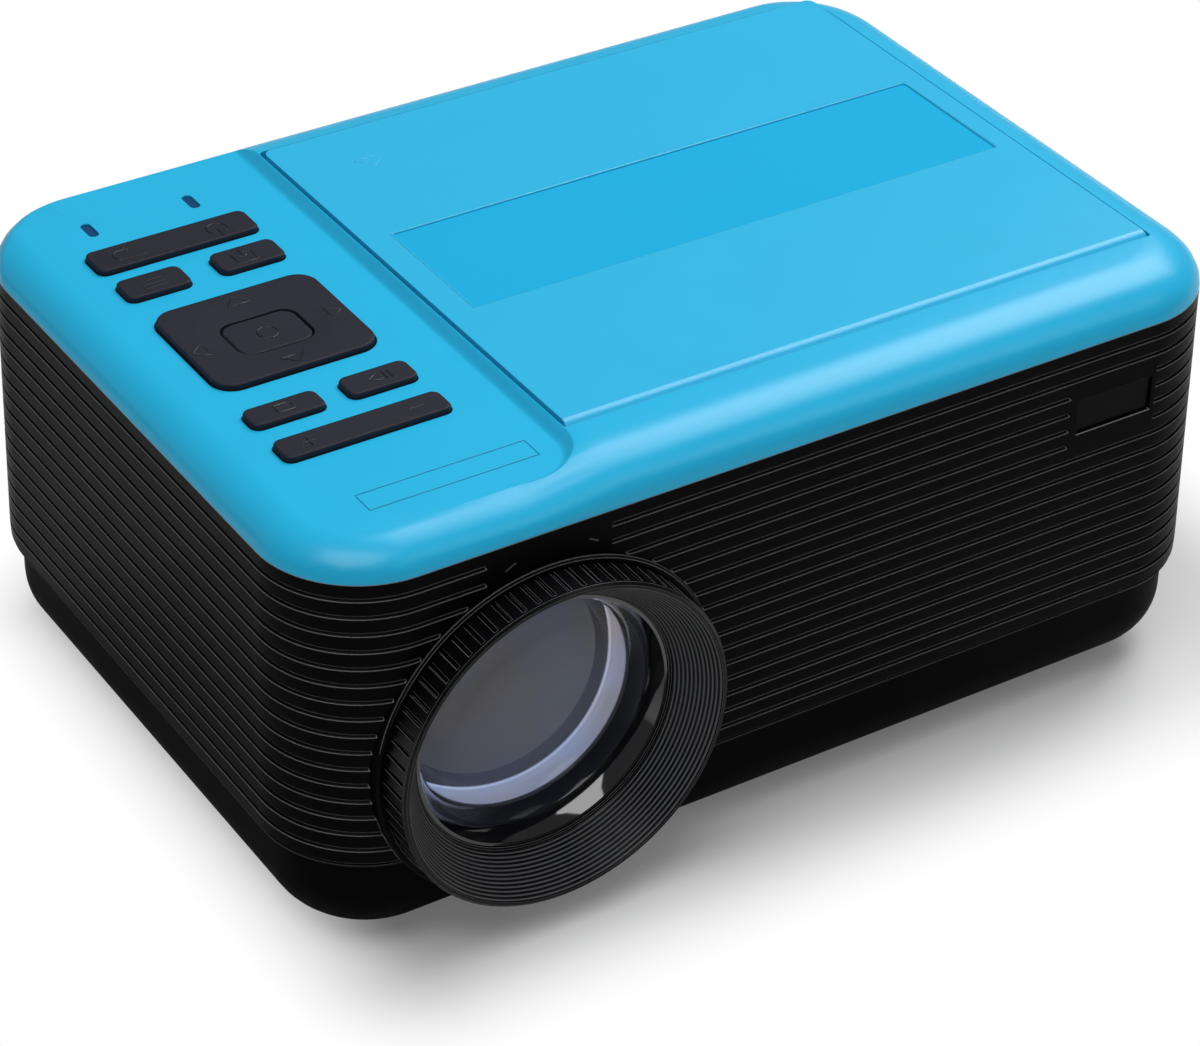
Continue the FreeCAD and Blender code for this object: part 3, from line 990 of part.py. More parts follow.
def lens_barrel():
    r_in = BARREL_R - BARREL_WALL
    flange_y = RING_BACK + SEAT
    flange_r = BARREL_R + FLANGE_OUT
    stop_y, ledge_y = BARREL_END - 1.5, FRONT_LENS_Y + FRONT_LENS_THICK + 0.25
    return turned([
        (r_in, BARREL_FRONT), (BARREL_R, BARREL_FRONT), (BARREL_R, flange_y), (flange_r, flange_y),
        (flange_r, flange_y + FLANGE_THICK), (BARREL_R, flange_y + FLANGE_THICK), (BARREL_R, BARREL_END),
        (r_in - 4, BARREL_END), (r_in - 4, stop_y), (r_in, stop_y), (r_in, FRONT_LENS_Y + 5.0),
        (r_in - LENS_SEAT, FRONT_LENS_Y + 5.0), (r_in - LENS_SEAT, ledge_y), (r_in, ledge_y)])


def lens_retainer():
    """Glossy ring between the funnel and the glass, with a curved throat."""
    r_in = BARREL_R - BARREL_WALL - SNUG / 2
    y0, y1 = RETAINER_FRONT, FRONT_LENS_Y - 0.6
    mouth, throat = BARREL_R - 0.8, FRONT_LENS_R - THROAT_IN
    steps = 6
    curve = [(throat + (mouth - throat) * (k / steps) ** 2, y1 + (y0 - y1) * k / steps)
             for k in range(steps + 1)]
    return turned(curve + [(BARREL_R - SNUG, y0), (BARREL_R - SNUG, BARREL_FRONT), (r_in, BARREL_FRONT),
                           (r_in, y1)])


def glass(r_edge, y_edge, thick, bulge_front, bulge_back):
    """A lens: an edge band and two spherical caps."""

    def cap(bulge, y_rim, outward):
        radius = (r_edge ** 2 + bulge ** 2) / (2 * bulge)
        centre_y = y_rim - outward * (radius - bulge)
        ball = Part.makeSphere(radius, at(LENS_X, centre_y, LENS_Z))
        y0, y1 = (y_rim - bulge - 1, y_rim) if outward < 0 else (y_rim, y_rim + bulge + 1)
        return ball.common(rod_y(LENS_X, LENS_Z, y0, y1, r_edge))

    band = rod_y(LENS_X, LENS_Z, y_edge, y_edge + thick, r_edge)
    return fuse([cap(bulge_front, y_edge, -1), band, cap(bulge_back, y_edge + thick, 1)])


def front_lens():
    return glass(FRONT_LENS_R - SNUG, FRONT_LENS_Y, FRONT_LENS_THICK, FRONT_LENS_BULGE, FRONT_LENS_BACK_BULGE)


def rear_lens():
    r = BARREL_R - BARREL_WALL - SNUG
    y = BARREL_END - 1.5 - REAR_LENS_BACK_BULGE - REAR_LENS_THICK - 0.6
    return glass(r, y, REAR_LENS_THICK, REAR_LENS_BULGE, REAR_LENS_BACK_BULGE)


def lens_mount():
    bore = BARREL_R + RUN
    tube = tube_y(bore + MOUNT_WALL, bore, MOUNT_Y0, MOUNT_PLATE_Y + 0.5)
    plate = box(LENS_X - ENGINE_HALF_X, LENS_X + ENGINE_HALF_X, MOUNT_PLATE_Y, ENGINE_Y0,
                LENS_Z - ENGINE_HALF_Z, LENS_Z + ENGINE_HALF_Z)
    return fuse([tube, plate.cut(rod_y(LENS_X, LENS_Z, MOUNT_PLATE_Y - 1, ENGINE_Y0 + 1, bore))])


# ---- light engine ----------------------------------------------------------------------------------------


def engine_box(extra, y0, y1):
    return box(LENS_X - ENGINE_HALF_X + extra, LENS_X + ENGINE_HALF_X - extra, y0, y1,
               LENS_Z - ENGINE_HALF_Z + extra, LENS_Z + ENGINE_HALF_Z - extra)


def engine_feet():
    return [post(LENS_X + dx, y, FOOT_STAND + WALL / 2, LENS_Z - ENGINE_HALF_Z, ENGINE_FOOT_R)
            for dx in (-ENGINE_FOOT_X, ENGINE_FOOT_X)
            for y in (ENGINE_Y0 + ENGINE_FOOT_IN, ENGINE_Y1 - ENGINE_FOOT_IN)]


def optics_housing():
    return engine_box(0, ENGINE_Y0, ENGINE_Y1).cut(engine_box(ENGINE_WALL, ENGINE_Y0 - 1, ENGINE_Y1 + 1))


def engine_plate(share):
    """A plate across the engine at that share of its length."""
    y = ENGINE_Y0 + ENGINE_LONG * share
    return engine_box(ENGINE_WALL + SNUG, y, y + PLATE_THICK)


def lcd_panel():
    return engine_plate(LCD_AT)


def fresnel_lenses():
    return Part.makeCompound([engine_plate(share) for share in FRESNELS_AT])


def condenser_lens():
    r = ENGINE_HALF_Z - ENGINE_WALL - SNUG
    band = rod_y(LENS_X, LENS_Z, CONDENSER_Y, CONDENSER_Y + CONDENSER_BAND, r)
    tip = CONDENSER_Y - CONDENSER_BULGE
    ball = Part.makeSphere(CONDENSER_BALL_R, at(LENS_X, tip + CONDENSER_BALL_R, LENS_Z))
    return fuse([band, ball.common(rod_y(LENS_X, LENS_Z, tip, CONDENSER_Y + 0.5, r))])


def reflector_form(extra):
    def ring(y, hx, hz):
        points = [at(LENS_X - hx, y, LENS_Z - hz), at(LENS_X + hx, y, LENS_Z - hz),
                  at(LENS_X + hx, y, LENS_Z + hz), at(LENS_X - hx, y, LENS_Z + hz)]
        return Part.makePolygon(points + points[:1])

    return Part.makeLoft([ring(ENGINE_Y1, ENGINE_HALF_X - extra, ENGINE_HALF_Z - extra),
                          ring(REFLECTOR_Y1, LED_HALF - extra, LED_HALF - extra)], True, True)


def lamp_reflector():
    return reflector_form(0).cut(reflector_form(REFLECTOR_WALL))


def led_module():
    def plate(half, y0, y1):
        return box(LENS_X - half, LENS_X + half, y0, y1, LENS_Z - half, LENS_Z + half)

    front = SINK_Y0 - LED_PLATE
    return fuse([plate(LED_PLATE_HALF, front, SINK_Y0),
                 plate(LED_CHIP_HALF, front - LED_CHIP_HIGH, SINK_Y0 - 1)])


def heatsink():
    base = box(LENS_X - SINK_HALF, LENS_X + SINK_HALF, SINK_Y0, SINK_Y0 + SINK_BASE, LENS_Z - SINK_HALF,
               LENS_Z + SINK_HALF)
    step = (2 * SINK_HALF - FIN_THICK) / (FIN_COUNT - 1)
    fins = [box(LENS_X - SINK_HALF + i * step, LENS_X - SINK_HALF + i * step + FIN_THICK,
                SINK_Y0 + SINK_BASE - 0.5, SINK_Y1, LENS_Z - SINK_HALF, LENS_Z + SINK_HALF)
            for i in range(FIN_COUNT)]
    return fuse([base] + fins)


def fan_frame():
    y1 = FAN_Y0 + FAN_THICK
    body = box(LENS_X - FAN_HALF, LENS_X + FAN_HALF, FAN_Y0, y1, LENS_Z - FAN_HALF, LENS_Z + FAN_HALF)
    body = body.cut(rod_y(LENS_X, LENS_Z, FAN_Y0 - 1, y1 + 1, FAN_BORE_R))
    spokes = []
    for turn in (45, 135, 225, 315):
        spoke = box(LENS_X - FAN_SPOKE / 2, LENS_X + FAN_SPOKE / 2, y1 - FAN_SPOKE_THICK, y1, LENS_Z,
                    LENS_Z + FAN_BORE_R + 0.5)
        spoke.rotate(at(LENS_X, 0, LENS_Z), Vec(0, 1, 0), turn)
        spokes.append(spoke)
    hub = rod_y(LENS_X, LENS_Z, y1 - FAN_SPOKE_THICK, y1, FAN_HUB_R)
    shaft = rod_y(LENS_X, LENS_Z, FAN_Y0 + 2, y1 - 1, FAN_SHAFT_R)
    return fuse([body, hub, shaft] + spokes)


def fan_rotor():
    y0, y1 = FAN_Y0 + 1.0, FAN_Y0 + FAN_THICK - FAN_SPOKE_THICK - SEAT
    pieces = [rod_y(LENS_X, LENS_Z, y0, y1, FAN_HUB_R)]
    for k in range(BLADE_COUNT):
        blade = box(LENS_X - BLADE_THICK / 2, LENS_X + BLADE_THICK / 2, y0 - 2.5, y1 + 2.5,
                    LENS_Z + FAN_HUB_R - 1, LENS_Z + FAN_BORE_R - 0.8)
        blade.rotate(at(LENS_X, (y0 + y1) / 2, LENS_Z), UP, BLADE_PITCH)
        blade = blade.common(tube_y(FAN_BORE_R - 0.7, 2.0, y0, y1))
        blade.rotate(at(LENS_X, 0, LENS_Z), Vec(0, 1, 0), 360.0 * k / BLADE_COUNT)
        pieces.append(blade)
    return fuse(pieces).cut(rod_y(LENS_X, LENS_Z, FAN_Y0, y1 + 1, FAN_SHAFT_R + RUN))


def vent_grille():
    x0, x1 = LENS_X - GRILLE_HALF + SNUG, LENS_X + GRILLE_HALF - SNUG
    z0, z1 = CASE_SPLIT_Z + GRILLE_LOW + SNUG, LENS_Z + GRILLE_HALF - SNUG
    panel = box(x0, x1, DEPTH - GRILLE_THICK, DEPTH - GRILLE_SUNK, z0, z1)
    slots = []
    border = GRILLE_RIB * 1.25
    pitch = (z1 - z0 - 4) / GRILLE_ROWS
    for k in range(GRILLE_ROWS):
        z = z0 + 2 + pitch * (k + 0.5)
        for xa, xb in ((x0 + border, LENS_X - GRILLE_RIB / 2), (LENS_X + GRILLE_RIB / 2, x1 - border)):
            slots.append(box(xa, xb, DEPTH - GRILLE_THICK - 1, DEPTH + 1, z - GRILLE_SLOT_HALF,
                             z + GRILLE_SLOT_HALF))
    return panel.cut(slots)


# ---- electronics and rear ports --------------------------------------------------------------------------


def board_posts():
    into = BOARD_POST_IN
    ys = (BOARDS_Y0 + into, DEPTH - BOARD_FAR_POST)
    return [(x, y) for x in (MAIN_X0 + into, MAIN_X1 - into, POWER_X0 + into, POWER_X1 - into) for y in ys]


def board(x0, x1, parts):
    pieces = [box(x0, x1, BOARDS_Y0, BOARD_Y1, MAIN_BOARD_Z, PORT_FLOOR)]
    for x, y, wide, deep, high in parts:
        pieces.append(box(x0 + x, x0 + x + wide, BOARDS_Y0 + y, BOARDS_Y0 + y + deep, PORT_FLOOR - 0.5,
                          PORT_FLOOR + high))
    return fuse(pieces)


def main_board():
    return board(MAIN_X0, MAIN_X1, MAIN_PARTS)


def power_board():
    return board(POWER_X0, POWER_X1, POWER_PARTS)


def port(x, size, tongue=None):
    """A metal socket shell that opens to the rear, standing on the board, with its contact tongue."""
    wide, high = size
    y1 = DEPTH - PORT_SUNK
    y0 = y1 - PORT_DEEP
    outer = box(x - wide / 2 - PORT_WALL, x + wide / 2 + PORT_WALL, y0, y1, PORT_FLOOR,
                PORT_FLOOR + high + 2 * PORT_WALL)
    inner = box(x - wide / 2, x + wide / 2, y0 + PORT_WALL, y1 + 1, PORT_FLOOR + PORT_WALL,
                PORT_FLOOR + PORT_WALL + high)
    shell = outer.cut(inner)
    if tongue is None:
        return shell
    tongue_wide, up, thick, sunk = tongue
    z = PORT_FLOOR + PORT_WALL + up
    return fuse([shell, box(x - tongue_wide / 2, x + tongue_wide / 2, y0 + PORT_WALL / 2, DEPTH - sunk, z,
                            z + thick)])


def hdmi_port():
    return port(HDMI_X, HDMI_SIZE, HDMI_TONGUE)


def usb_port():
    return port(USB_X, USB_SIZE, USB_TONGUE)


def card_slot():
    return port(CARD_X, CARD_SIZE)


def jack(x):
    y0, y1 = DEPTH - WALL - PORT_DEEP, DEPTH - REAR_SUNK
    body = box(x - JACK_HALF, x + JACK_HALF, y0, DEPTH - WALL + 0.2, PORT_FLOOR, JACK_Z + JACK_HALF)
    nose = rod_y(x, JACK_Z, DEPTH - WALL, y1, JACK_NOSE_R)
    return fuse([body, nose]).cut(rod_y(x, JACK_Z, y0 + JACK_BACK, y1 + 1, JACK_BORE_R))


def power_inlet():
    """Two-pin figure-eight inlet."""
    inside, y1 = DEPTH - WALL, DEPTH - REAR_SUNK
    body = box(INLET_X - INLET_HALF_X, INLET_X + INLET_HALF_X, inside - INLET_LONG, inside + SNUG,
               INLET_Z - INLET_HALF_Z, INLET_Z + INLET_HALF_Z)
    nose = inlet_form(INLET_NOSE_R, inside - 0.2, y1)
    well = inlet_form(INLET_WELL_R, inside - INLET_WELL_DEEP, y1 + 1)
    pins = [rod_y(INLET_X + side * INLET_PIN_OUT, INLET_Z, inside - INLET_WELL_DEEP - 1, inside - 1.5,
                  INLET_PIN_R) for side in (-1, 1)]
    return fuse([fuse([body, nose]).cut(well)] + pins)


def inlet_form(r, y0, y1):
    lobes = [rod_y(INLET_X + side * INLET_LOBE, INLET_Z, y0, y1, r) for side in (-1, 1)]
    return fuse(lobes + [box(INLET_X - INLET_LOBE, INLET_X + INLET_LOBE, y0, y1, INLET_Z - r, INLET_Z + r)])


def rear_panel():
    edge = REAR_EDGE + SNUG
    y0, y1 = DEPTH - REAR_PLATE_THICK - REAR_SUNK, DEPTH - REAR_SUNK
    plate = box(REAR_X0 + edge, REAR_X1 - edge, y0, y1, REAR_Z0 + edge, REAR_Z1 - edge)
    holes = []
    for x, (wide, high) in ((HDMI_X, HDMI_SIZE), (USB_X, USB_SIZE), (CARD_X, CARD_SIZE)):
        half = wide / 2 + PORT_WALL + PORT_ROOM
        holes.append(box(x - half, x + half, y0 - 1, y1 + 1, PORT_FLOOR - PORT_ROOM,
                         PORT_FLOOR + high + 2 * PORT_WALL + PORT_ROOM))
    for x in (AV_X, PHONE_X):
        half = JACK_HALF + SNUG
        holes.append(rod_y(x, JACK_Z, y0 - 1, y1 + 1, JACK_NOSE_R + SNUG))
        holes.append(box(x - half, x + half, y0 - 1, DEPTH - WALL + 0.3, PORT_FLOOR - PORT_ROOM,
                         JACK_Z + half))
    half_x, half_z = INLET_HALF_X + SNUG, INLET_HALF_Z + SNUG
    holes.append(inlet_form(INLET_NOSE_R + SNUG, y0 - 1, y1 + 1))
    holes.append(box(INLET_X - half_x, INLET_X + half_x, y0 - 1, DEPTH - WALL + 0.25, INLET_Z - half_z,
                     INLET_Z + half_z))
    return plate.cut(holes)


def speaker():
    x1 = WIDTH - WALL - SEAT
    y, z = SPEAKER_Y, SPEAKER_Z
    basket = rod_x(y, z, x1 - SPEAKER_BASKET, x1, SPEAKER_R)
    cone = Part.makeCone(SPEAKER_R - SPEAKER_SURROUND, SPEAKER_CONE_R, SPEAKER_CONE_DEEP, at(x1 + 0.01, y, z),
                         Vec(-1, 0, 0))
    magnet = rod_x(y, z, x1 - SPEAKER_BASKET - SPEAKER_MAGNET + 0.5, x1 - SPEAKER_BASKET + 0.5,
                   SPEAKER_MAGNET_R)
    return fuse([basket.cut(cone), magnet])


def ir_window():
    face = -wall_out(IR_Z1 + IR_RIM)
    pane = box(IR_X0 + SNUG, IR_X1 - SNUG, face + IR_SUNK, face + WALL, IR_Z0 + SNUG, IR_Z1 - SNUG)
    rim = box(IR_X0 - IR_RIM, IR_X1 + IR_RIM, face + WALL, face + WALL + IR_RIM, IR_Z0 - IR_RIM,
              IR_Z1 + IR_RIM)
    return fuse([pane, rim])


def ir_receiver():
    x, z = (IR_X0 + IR_X1) / 2, (IR_Z0 + IR_Z1) / 2
    y0 = WALL + 1.2 + SEAT
    board_plate = box(x - 12, x + 12, y0 + 4, y0 + 5.4, z - 6, z + 6)
    eye = box(x - 3, x + 3, y0 + 1.5, y0 + 4.5, z - 3.5, z + 3.5)
    dome_ball = Part.makeSphere(2.4, at(x, y0 + 2.4, z))
    return fuse([board_plate, eye, dome_ball])


def build():
    NODES.update({
        "top_cover": top_cover(), "ribbed_shell": ribbed_shell(), "bottom_case": bottom_case(),
        "case_screws": case_screws(), "rubber_feet": rubber_feet(), "tripod_insert": tripod_insert(),
        "lens_collar": lens_collar(), "ir_window": ir_window(), "ir_receiver": ir_receiver(),
        "lid": lid(), "lid_hinge_pins": lid_hinge_pins(), "lid_catch": lid_catch(), "disc_deck": disc_deck(),
        "drive_chassis": drive_chassis(), "chassis_dampers": chassis_dampers(),
        "spindle_motor": spindle_motor(), "turntable": turntable(), "pickup_sled": pickup_sled(),
        "guide_rods": guide_rods(), "lead_screw": lead_screw(), "sled_motor": sled_motor(),
        "focus_ring": focus_ring(), "lens_barrel": lens_barrel(), "lens_retainer": lens_retainer(),
        "front_lens": front_lens(), "rear_lens": rear_lens(), "lens_mount": lens_mount(),
        "optics_housing": optics_housing(), "lcd_panel": lcd_panel(), "fresnel_lenses": fresnel_lenses(),
        "condenser_lens": condenser_lens(), "lamp_reflector": lamp_reflector(), "led_module": led_module(),
        "heatsink": heatsink(), "fan_frame": fan_frame(), "fan_rotor": fan_rotor(),
        "vent_grille": vent_grille(), "main_board": main_board(), "power_board": power_board(),
        "keypad_board": keypad_board(), "tact_switches": tact_switches(), "light_pipes": light_pipes(),
        "dpad": dpad(), "dpad_pivot": dpad_pivot(), "ok_key": ok_key(),
        "hdmi_port": hdmi_port(), "usb_port": usb_port(), "card_slot": card_slot(), "av_jack": jack(AV_X),
        "headphone_jack": jack(PHONE_X), "power_inlet": power_inlet(), "rear_panel": rear_panel(),
        "speaker": speaker(),
    })
    for name, place in KEYS.items():
        NODES[name] = push_key(*place)
    for name, place in ROCKERS.items():
        NODES[name] = rocker_key(*place)


build()
os.makedirs("parts", exist_ok=True)
for name, shape in NODES.items():
    shape.exportStep("parts/" + name + ".step")
    print(f"{name}: {len(shape.Solids)} solids, {shape.Volume / 1000:.2f} cm3, valid {shape.isValid()}")
print(len(NODES), "nodes")
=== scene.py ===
"""Looks of a portable projector with a top-loading disc player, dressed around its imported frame."""

import json
import math

import bpy
from mathutils import Matrix, Vector
from mathutils.bvhtree import BVHTree

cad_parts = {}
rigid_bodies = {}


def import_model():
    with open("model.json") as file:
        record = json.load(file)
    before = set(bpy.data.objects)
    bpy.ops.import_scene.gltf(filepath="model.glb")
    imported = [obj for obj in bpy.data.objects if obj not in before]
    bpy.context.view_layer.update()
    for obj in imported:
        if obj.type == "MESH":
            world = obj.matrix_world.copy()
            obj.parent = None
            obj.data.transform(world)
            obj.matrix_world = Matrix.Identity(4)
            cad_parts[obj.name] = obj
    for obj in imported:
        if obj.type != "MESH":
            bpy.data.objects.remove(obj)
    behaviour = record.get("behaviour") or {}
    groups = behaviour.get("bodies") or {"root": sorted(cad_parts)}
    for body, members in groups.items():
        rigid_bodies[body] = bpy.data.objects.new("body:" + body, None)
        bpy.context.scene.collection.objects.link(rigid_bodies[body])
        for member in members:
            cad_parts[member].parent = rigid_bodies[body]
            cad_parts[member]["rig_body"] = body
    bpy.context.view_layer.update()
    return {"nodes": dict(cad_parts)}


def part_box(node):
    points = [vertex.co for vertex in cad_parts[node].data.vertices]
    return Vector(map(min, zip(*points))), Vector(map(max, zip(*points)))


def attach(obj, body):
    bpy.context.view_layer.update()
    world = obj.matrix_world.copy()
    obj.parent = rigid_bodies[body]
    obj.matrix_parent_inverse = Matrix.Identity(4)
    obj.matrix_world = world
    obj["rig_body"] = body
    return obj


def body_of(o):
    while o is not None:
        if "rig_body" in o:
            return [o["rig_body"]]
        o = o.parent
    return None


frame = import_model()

MM = 0.001


def add_object(name, data):
    thing = bpy.data.objects.new(name, data)
    bpy.context.scene.collection.objects.link(thing)
    return thing


# ---- camera, fitted to the photograph --------------------------------------------------------------------
CAMERA_TARGET = Vector((-5.37, -7.11, 36.45)) * MM
CAMERA_AZIMUTH = -32.97
CAMERA_ELEVATION = 34.56
CAMERA_ROLL = 1.29
CAMERA_DISTANCE = 869.04 * MM
CAMERA_LENS = 117.0
CAMERA_CLIP = (0.05, 50.0)


def make_camera():
    azimuth, elevation = math.radians(CAMERA_AZIMUTH), math.radians(CAMERA_ELEVATION)
    back = Vector((math.sin(azimuth) * math.cos(elevation), -math.cos(azimuth) * math.cos(elevation),
                   math.sin(elevation)))
    data = bpy.data.cameras.new("camera")
    data.lens = CAMERA_LENS
    data.clip_start, data.clip_end = CAMERA_CLIP
    camera = add_object("camera", data)
    turn = (-back).to_track_quat("-Z", "Y").to_matrix().to_4x4()
    roll = Matrix.Rotation(math.radians(CAMERA_ROLL), 4, "Z")
    camera.matrix_world = Matrix.Translation(CAMERA_TARGET + back * CAMERA_DISTANCE) @ turn @ roll
    bpy.context.scene.camera = camera


make_camera()


# ---- places on the frame, in metres ----------------------------------------------------------------------
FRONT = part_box("top_cover")[0].y
RING_LOW, RING_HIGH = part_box("focus_ring")
LENS_X = (RING_LOW.x + RING_HIGH.x) / 2
LENS_Z = (RING_LOW.z + RING_HIGH.z) / 2
LID_LOW, LID_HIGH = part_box("lid")
STRIPE_X = (LID_LOW.x + 7.0 * MM, LID_HIGH.x - 5.4 * MM)          # the sunken stripe on the lid
STRIPE_Y = (LID_LOW.y + 47.9 * MM, LID_LOW.y + 82.9 * MM)
BODY_OF = {name: body_of(piece) for name, piece in frame["nodes"].items()}


# ---- shader nodes ----------------------------------------------------------------------------------------
NOISE_MIDDLE = (0.3, 0.7)         # most of a noise lies between these two values
BEVEL_SAMPLES = 8


def add_node(tree, kind, inputs=(), **settings):
    """A new node. Each of its inputs is a fixed value, or the output of another node that it is linked to."""
    node = tree.nodes.new(kind)
    for setting, value in settings.items():
        setattr(node, setting, value)
    for socket, value in dict(inputs).items():
        if isinstance(value, bpy.types.NodeSocket):
            tree.links.new(value, node.inputs[socket])
        else:
            node.inputs[socket].default_value = value
    return node


def maths(tree, operation, *values):
    return add_node(tree, "ShaderNodeMath", enumerate(values), operation=operation).outputs[0]


def vector_maths(tree, operation, *values):
    node = add_node(tree, "ShaderNodeVectorMath", enumerate(values), operation=operation)
    return node.outputs["Value" if operation in ("LENGTH", "DOT_PRODUCT") else "Vector"]


def map_range(tree, value, source, target, **settings):
    """Maps the range source onto the range target."""
    inputs = {"Value": value, "From Min": source[0], "From Max": source[1], "To Min": target[0],
              "To Max": target[1]}
    return add_node(tree, "ShaderNodeMapRange", inputs, **settings).outputs[0]


def mixed(tree, kind, share, first, second):
    """The first value where share is 0, and the second where it is 1."""
    inputs = {"Factor": share, "A": first, "B": second}
    return add_node(tree, "ShaderNodeMix", inputs, data_type=kind).outputs["Result"]


def object_place(tree):
    """The place on the object, in metres."""
    return add_node(tree, "ShaderNodeTexCoord").outputs["Object"]


def axis_of(tree, vector, axis):
    return add_node(tree, "ShaderNodeSeparateXYZ", {0: vector}).outputs[axis]


def noise_of(tree, size, detail=2.0):
    """A noise whose blobs are about that size in millimetres."""
    inputs = {"Vector": object_place(tree), "Scale": 1 / (size * MM), "Detail": detail}
    return add_node(tree, "ShaderNodeTexNoise", inputs).outputs["Fac"]


def rounded_normal(tree, radius):
    """The normal with every edge rounded to that radius in millimetres."""
    return add_node(tree, "ShaderNodeBevel", {"Radius": radius * MM}, samples=BEVEL_SAMPLES).outputs["Normal"]


def lay_over(material, share, colour, roughness=None):
    """Changes the material's colour, and its roughness where one is given, as far as share says."""
    tree = material.node_tree
    layers = [("RGBA", "Base Color", (*colour, 1))]
    if roughness is not None:
        layers.append(("FLOAT", "Roughness", roughness))
    for kind, socket, value in layers:
        target = tree.nodes["Principled BSDF"].inputs[socket]
        tree.links.new(mixed(tree, kind, share, target.links[0].from_socket, value), target)


def shine_through(material, share, other):
    """Shows the other shader in place of the material's own, as far as share says."""
    tree = material.node_tree
    mix = add_node(tree, "ShaderNodeMixShader",
                   {"Fac": share, 1: tree.nodes["Principled BSDF"].outputs[0], 2: other.outputs[0]})
    tree.links.new(mix.outputs[0], tree.nodes["Material Output"].inputs["Surface"])


# ---- materials: sizes are in millimetres -----------------------------------------------------------------
BLOTCH_SIZE = 14.0                # across the patches of slightly different colour
BLOTCH_DETAIL = 3.0
GRAIN_SIZE = 0.4
GRAIN_DEPTH = 0.05
EDGE_HIGHLIGHT_FADE = (0.99, 0.90)          # cosine from flat to rounded normal where a painted edge highlight starts and is full
STRIPE_BLUE = (0.0, 0.385, 0.675)
STRIPE_ROUGHNESS = 0.9
FUNNEL_RADII = (30.6, 37.1)       # of the inner and outer end of the funnel
FUNNEL_LINES = 12
FUNNEL_LINE_HALF = 0.17           # half the width of a painted highlight line, as a share of the step between lines
FUNNEL_BLACK = (0.0022, 0.0022, 0.0028)
# the grey of the painted highlight lines round the lens
FUNNEL_HIGHLIGHT_GREY = (0.095, 0.095, 0.10)
SLEEVE_PAINTED_GLOW = {"sleeve_white": 0.85, "sleeve_edge": 1.6}          # painted glow: emission that makes the sleeve and its edge look lit, though they are no lamps
SLEEVE_PAINTED_GLOW_COLOUR = (0.88, 0.90, 1.0)
PAINTED_REFLECTION_PATCH = 22.0              # across the bluish patches of painted reflection in the lens
GLASS_ROUGHNESS, GLASS_IOR = 0.02, 1.5

SLOTS = {name: piece.data.materials[0].name for name, piece in frame["nodes"].items()}
for imported in list(bpy.data.materials):
    bpy.data.materials.remove(imported)


def plain(name, colour, roughness, metallic=0.0, specular=0.5, grain=0.0, grain_size=GRAIN_SIZE, coat=0.0,
          mottle=0.04, edge=0.0, tone=None, patch=BLOTCH_SIZE):
    """A plastic or metal with slightly uneven colour and gloss, or with patches of a second tone. Its moulded
    grain and the rounding of its edges are given in millimetres."""
    material = bpy.data.materials.new(name)
    material.use_nodes = True
    tree = material.node_tree
    shader = tree.nodes["Principled BSDF"]
    for socket, value in (("Base Color", (*colour, 1)), ("Roughness", roughness), ("Metallic", metallic),
                          ("Specular IOR Level", specular), ("Coat Weight", coat)):
        shader.inputs[socket].default_value = value
    if mottle or tone:
        blotches = noise_of(tree, patch, BLOTCH_DETAIL)
        share = map_range(tree, blotches, NOISE_MIDDLE, (0, 1))
        light = tone or [min(1, c * (1 + mottle)) for c in colour]
        dark = [c * (1 - mottle) for c in colour]
        tree.links.new(mixed(tree, "RGBA", share, (*dark, 1), (*light, 1)), shader.inputs["Base Color"])
    if mottle:
        uneven = map_range(tree, blotches, NOISE_MIDDLE, (roughness * (1 - mottle), roughness * (1 + mottle)))
        tree.links.new(uneven, shader.inputs["Roughness"])
    normal = rounded_normal(tree, edge) if edge else None
    if grain:
        inputs = {"Strength": grain, "Distance": GRAIN_DEPTH * MM, "Height": noise_of(tree, grain_size)}
        if normal:
            inputs["Normal"] = normal
        normal = add_node(tree, "ShaderNodeBump", inputs).outputs["Normal"]
    if normal:
        tree.links.new(normal, shader.inputs["Normal"])
    return material


def glass(name, colour, tone, clear):
    """Clear glass with a faint haze of its colour, and patches of the tone as a painted reflection, more of
    both the lower clear is. Lamps shine through it.
    """
    material = plain(name, colour, GLASS_ROUGHNESS, mottle=0.0, tone=tone, patch=PAINTED_REFLECTION_PATCH)
    tree = material.node_tree
    shader = tree.nodes["Principled BSDF"]
    shader.inputs["Transmission Weight"].default_value = clear
    shader.inputs["IOR"].default_value = GLASS_IOR
    shadow = add_node(tree, "ShaderNodeLightPath").outputs["Is Shadow Ray"]
    shine_through(material, shadow, add_node(tree, "ShaderNodeBsdfTransparent"))
    return material


def paint_edge_highlights(material, colour, width, lowest):
    """Painted highlights: rounded edges of a black part are coloured as thin lighter lines where their
    normal's z is above lowest, in place of light catching them.
    """
    tree = material.node_tree
    rounded = rounded_normal(tree, width)
    flat = add_node(tree, "ShaderNodeNewGeometry").outputs["True Normal"]
    edge = map_range(tree, vector_maths(tree, "DOT_PRODUCT", rounded, flat), EDGE_HIGHLIGHT_FADE, (0, 1))
    high = maths(tree, "GREATER_THAN", axis_of(tree, rounded, "Z"), lowest)
    lay_over(material, maths(tree, "MULTIPLY", edge, high), colour)


def add_stripe(material):
    """The sunken stripe of the lid is a deeper, duller blue than the rest of it."""
    tree = material.node_tree
    place = object_place(tree)
    within = [maths(tree, "COMPARE", axis_of(tree, place, axis), (low + high) / 2, (high - low) / 2)
              for axis, (low, high) in (("X", STRIPE_X), ("Y", STRIPE_Y))]
    lay_over(material, maths(tree, "MULTIPLY", *within), STRIPE_BLUE, STRIPE_ROUGHNESS)


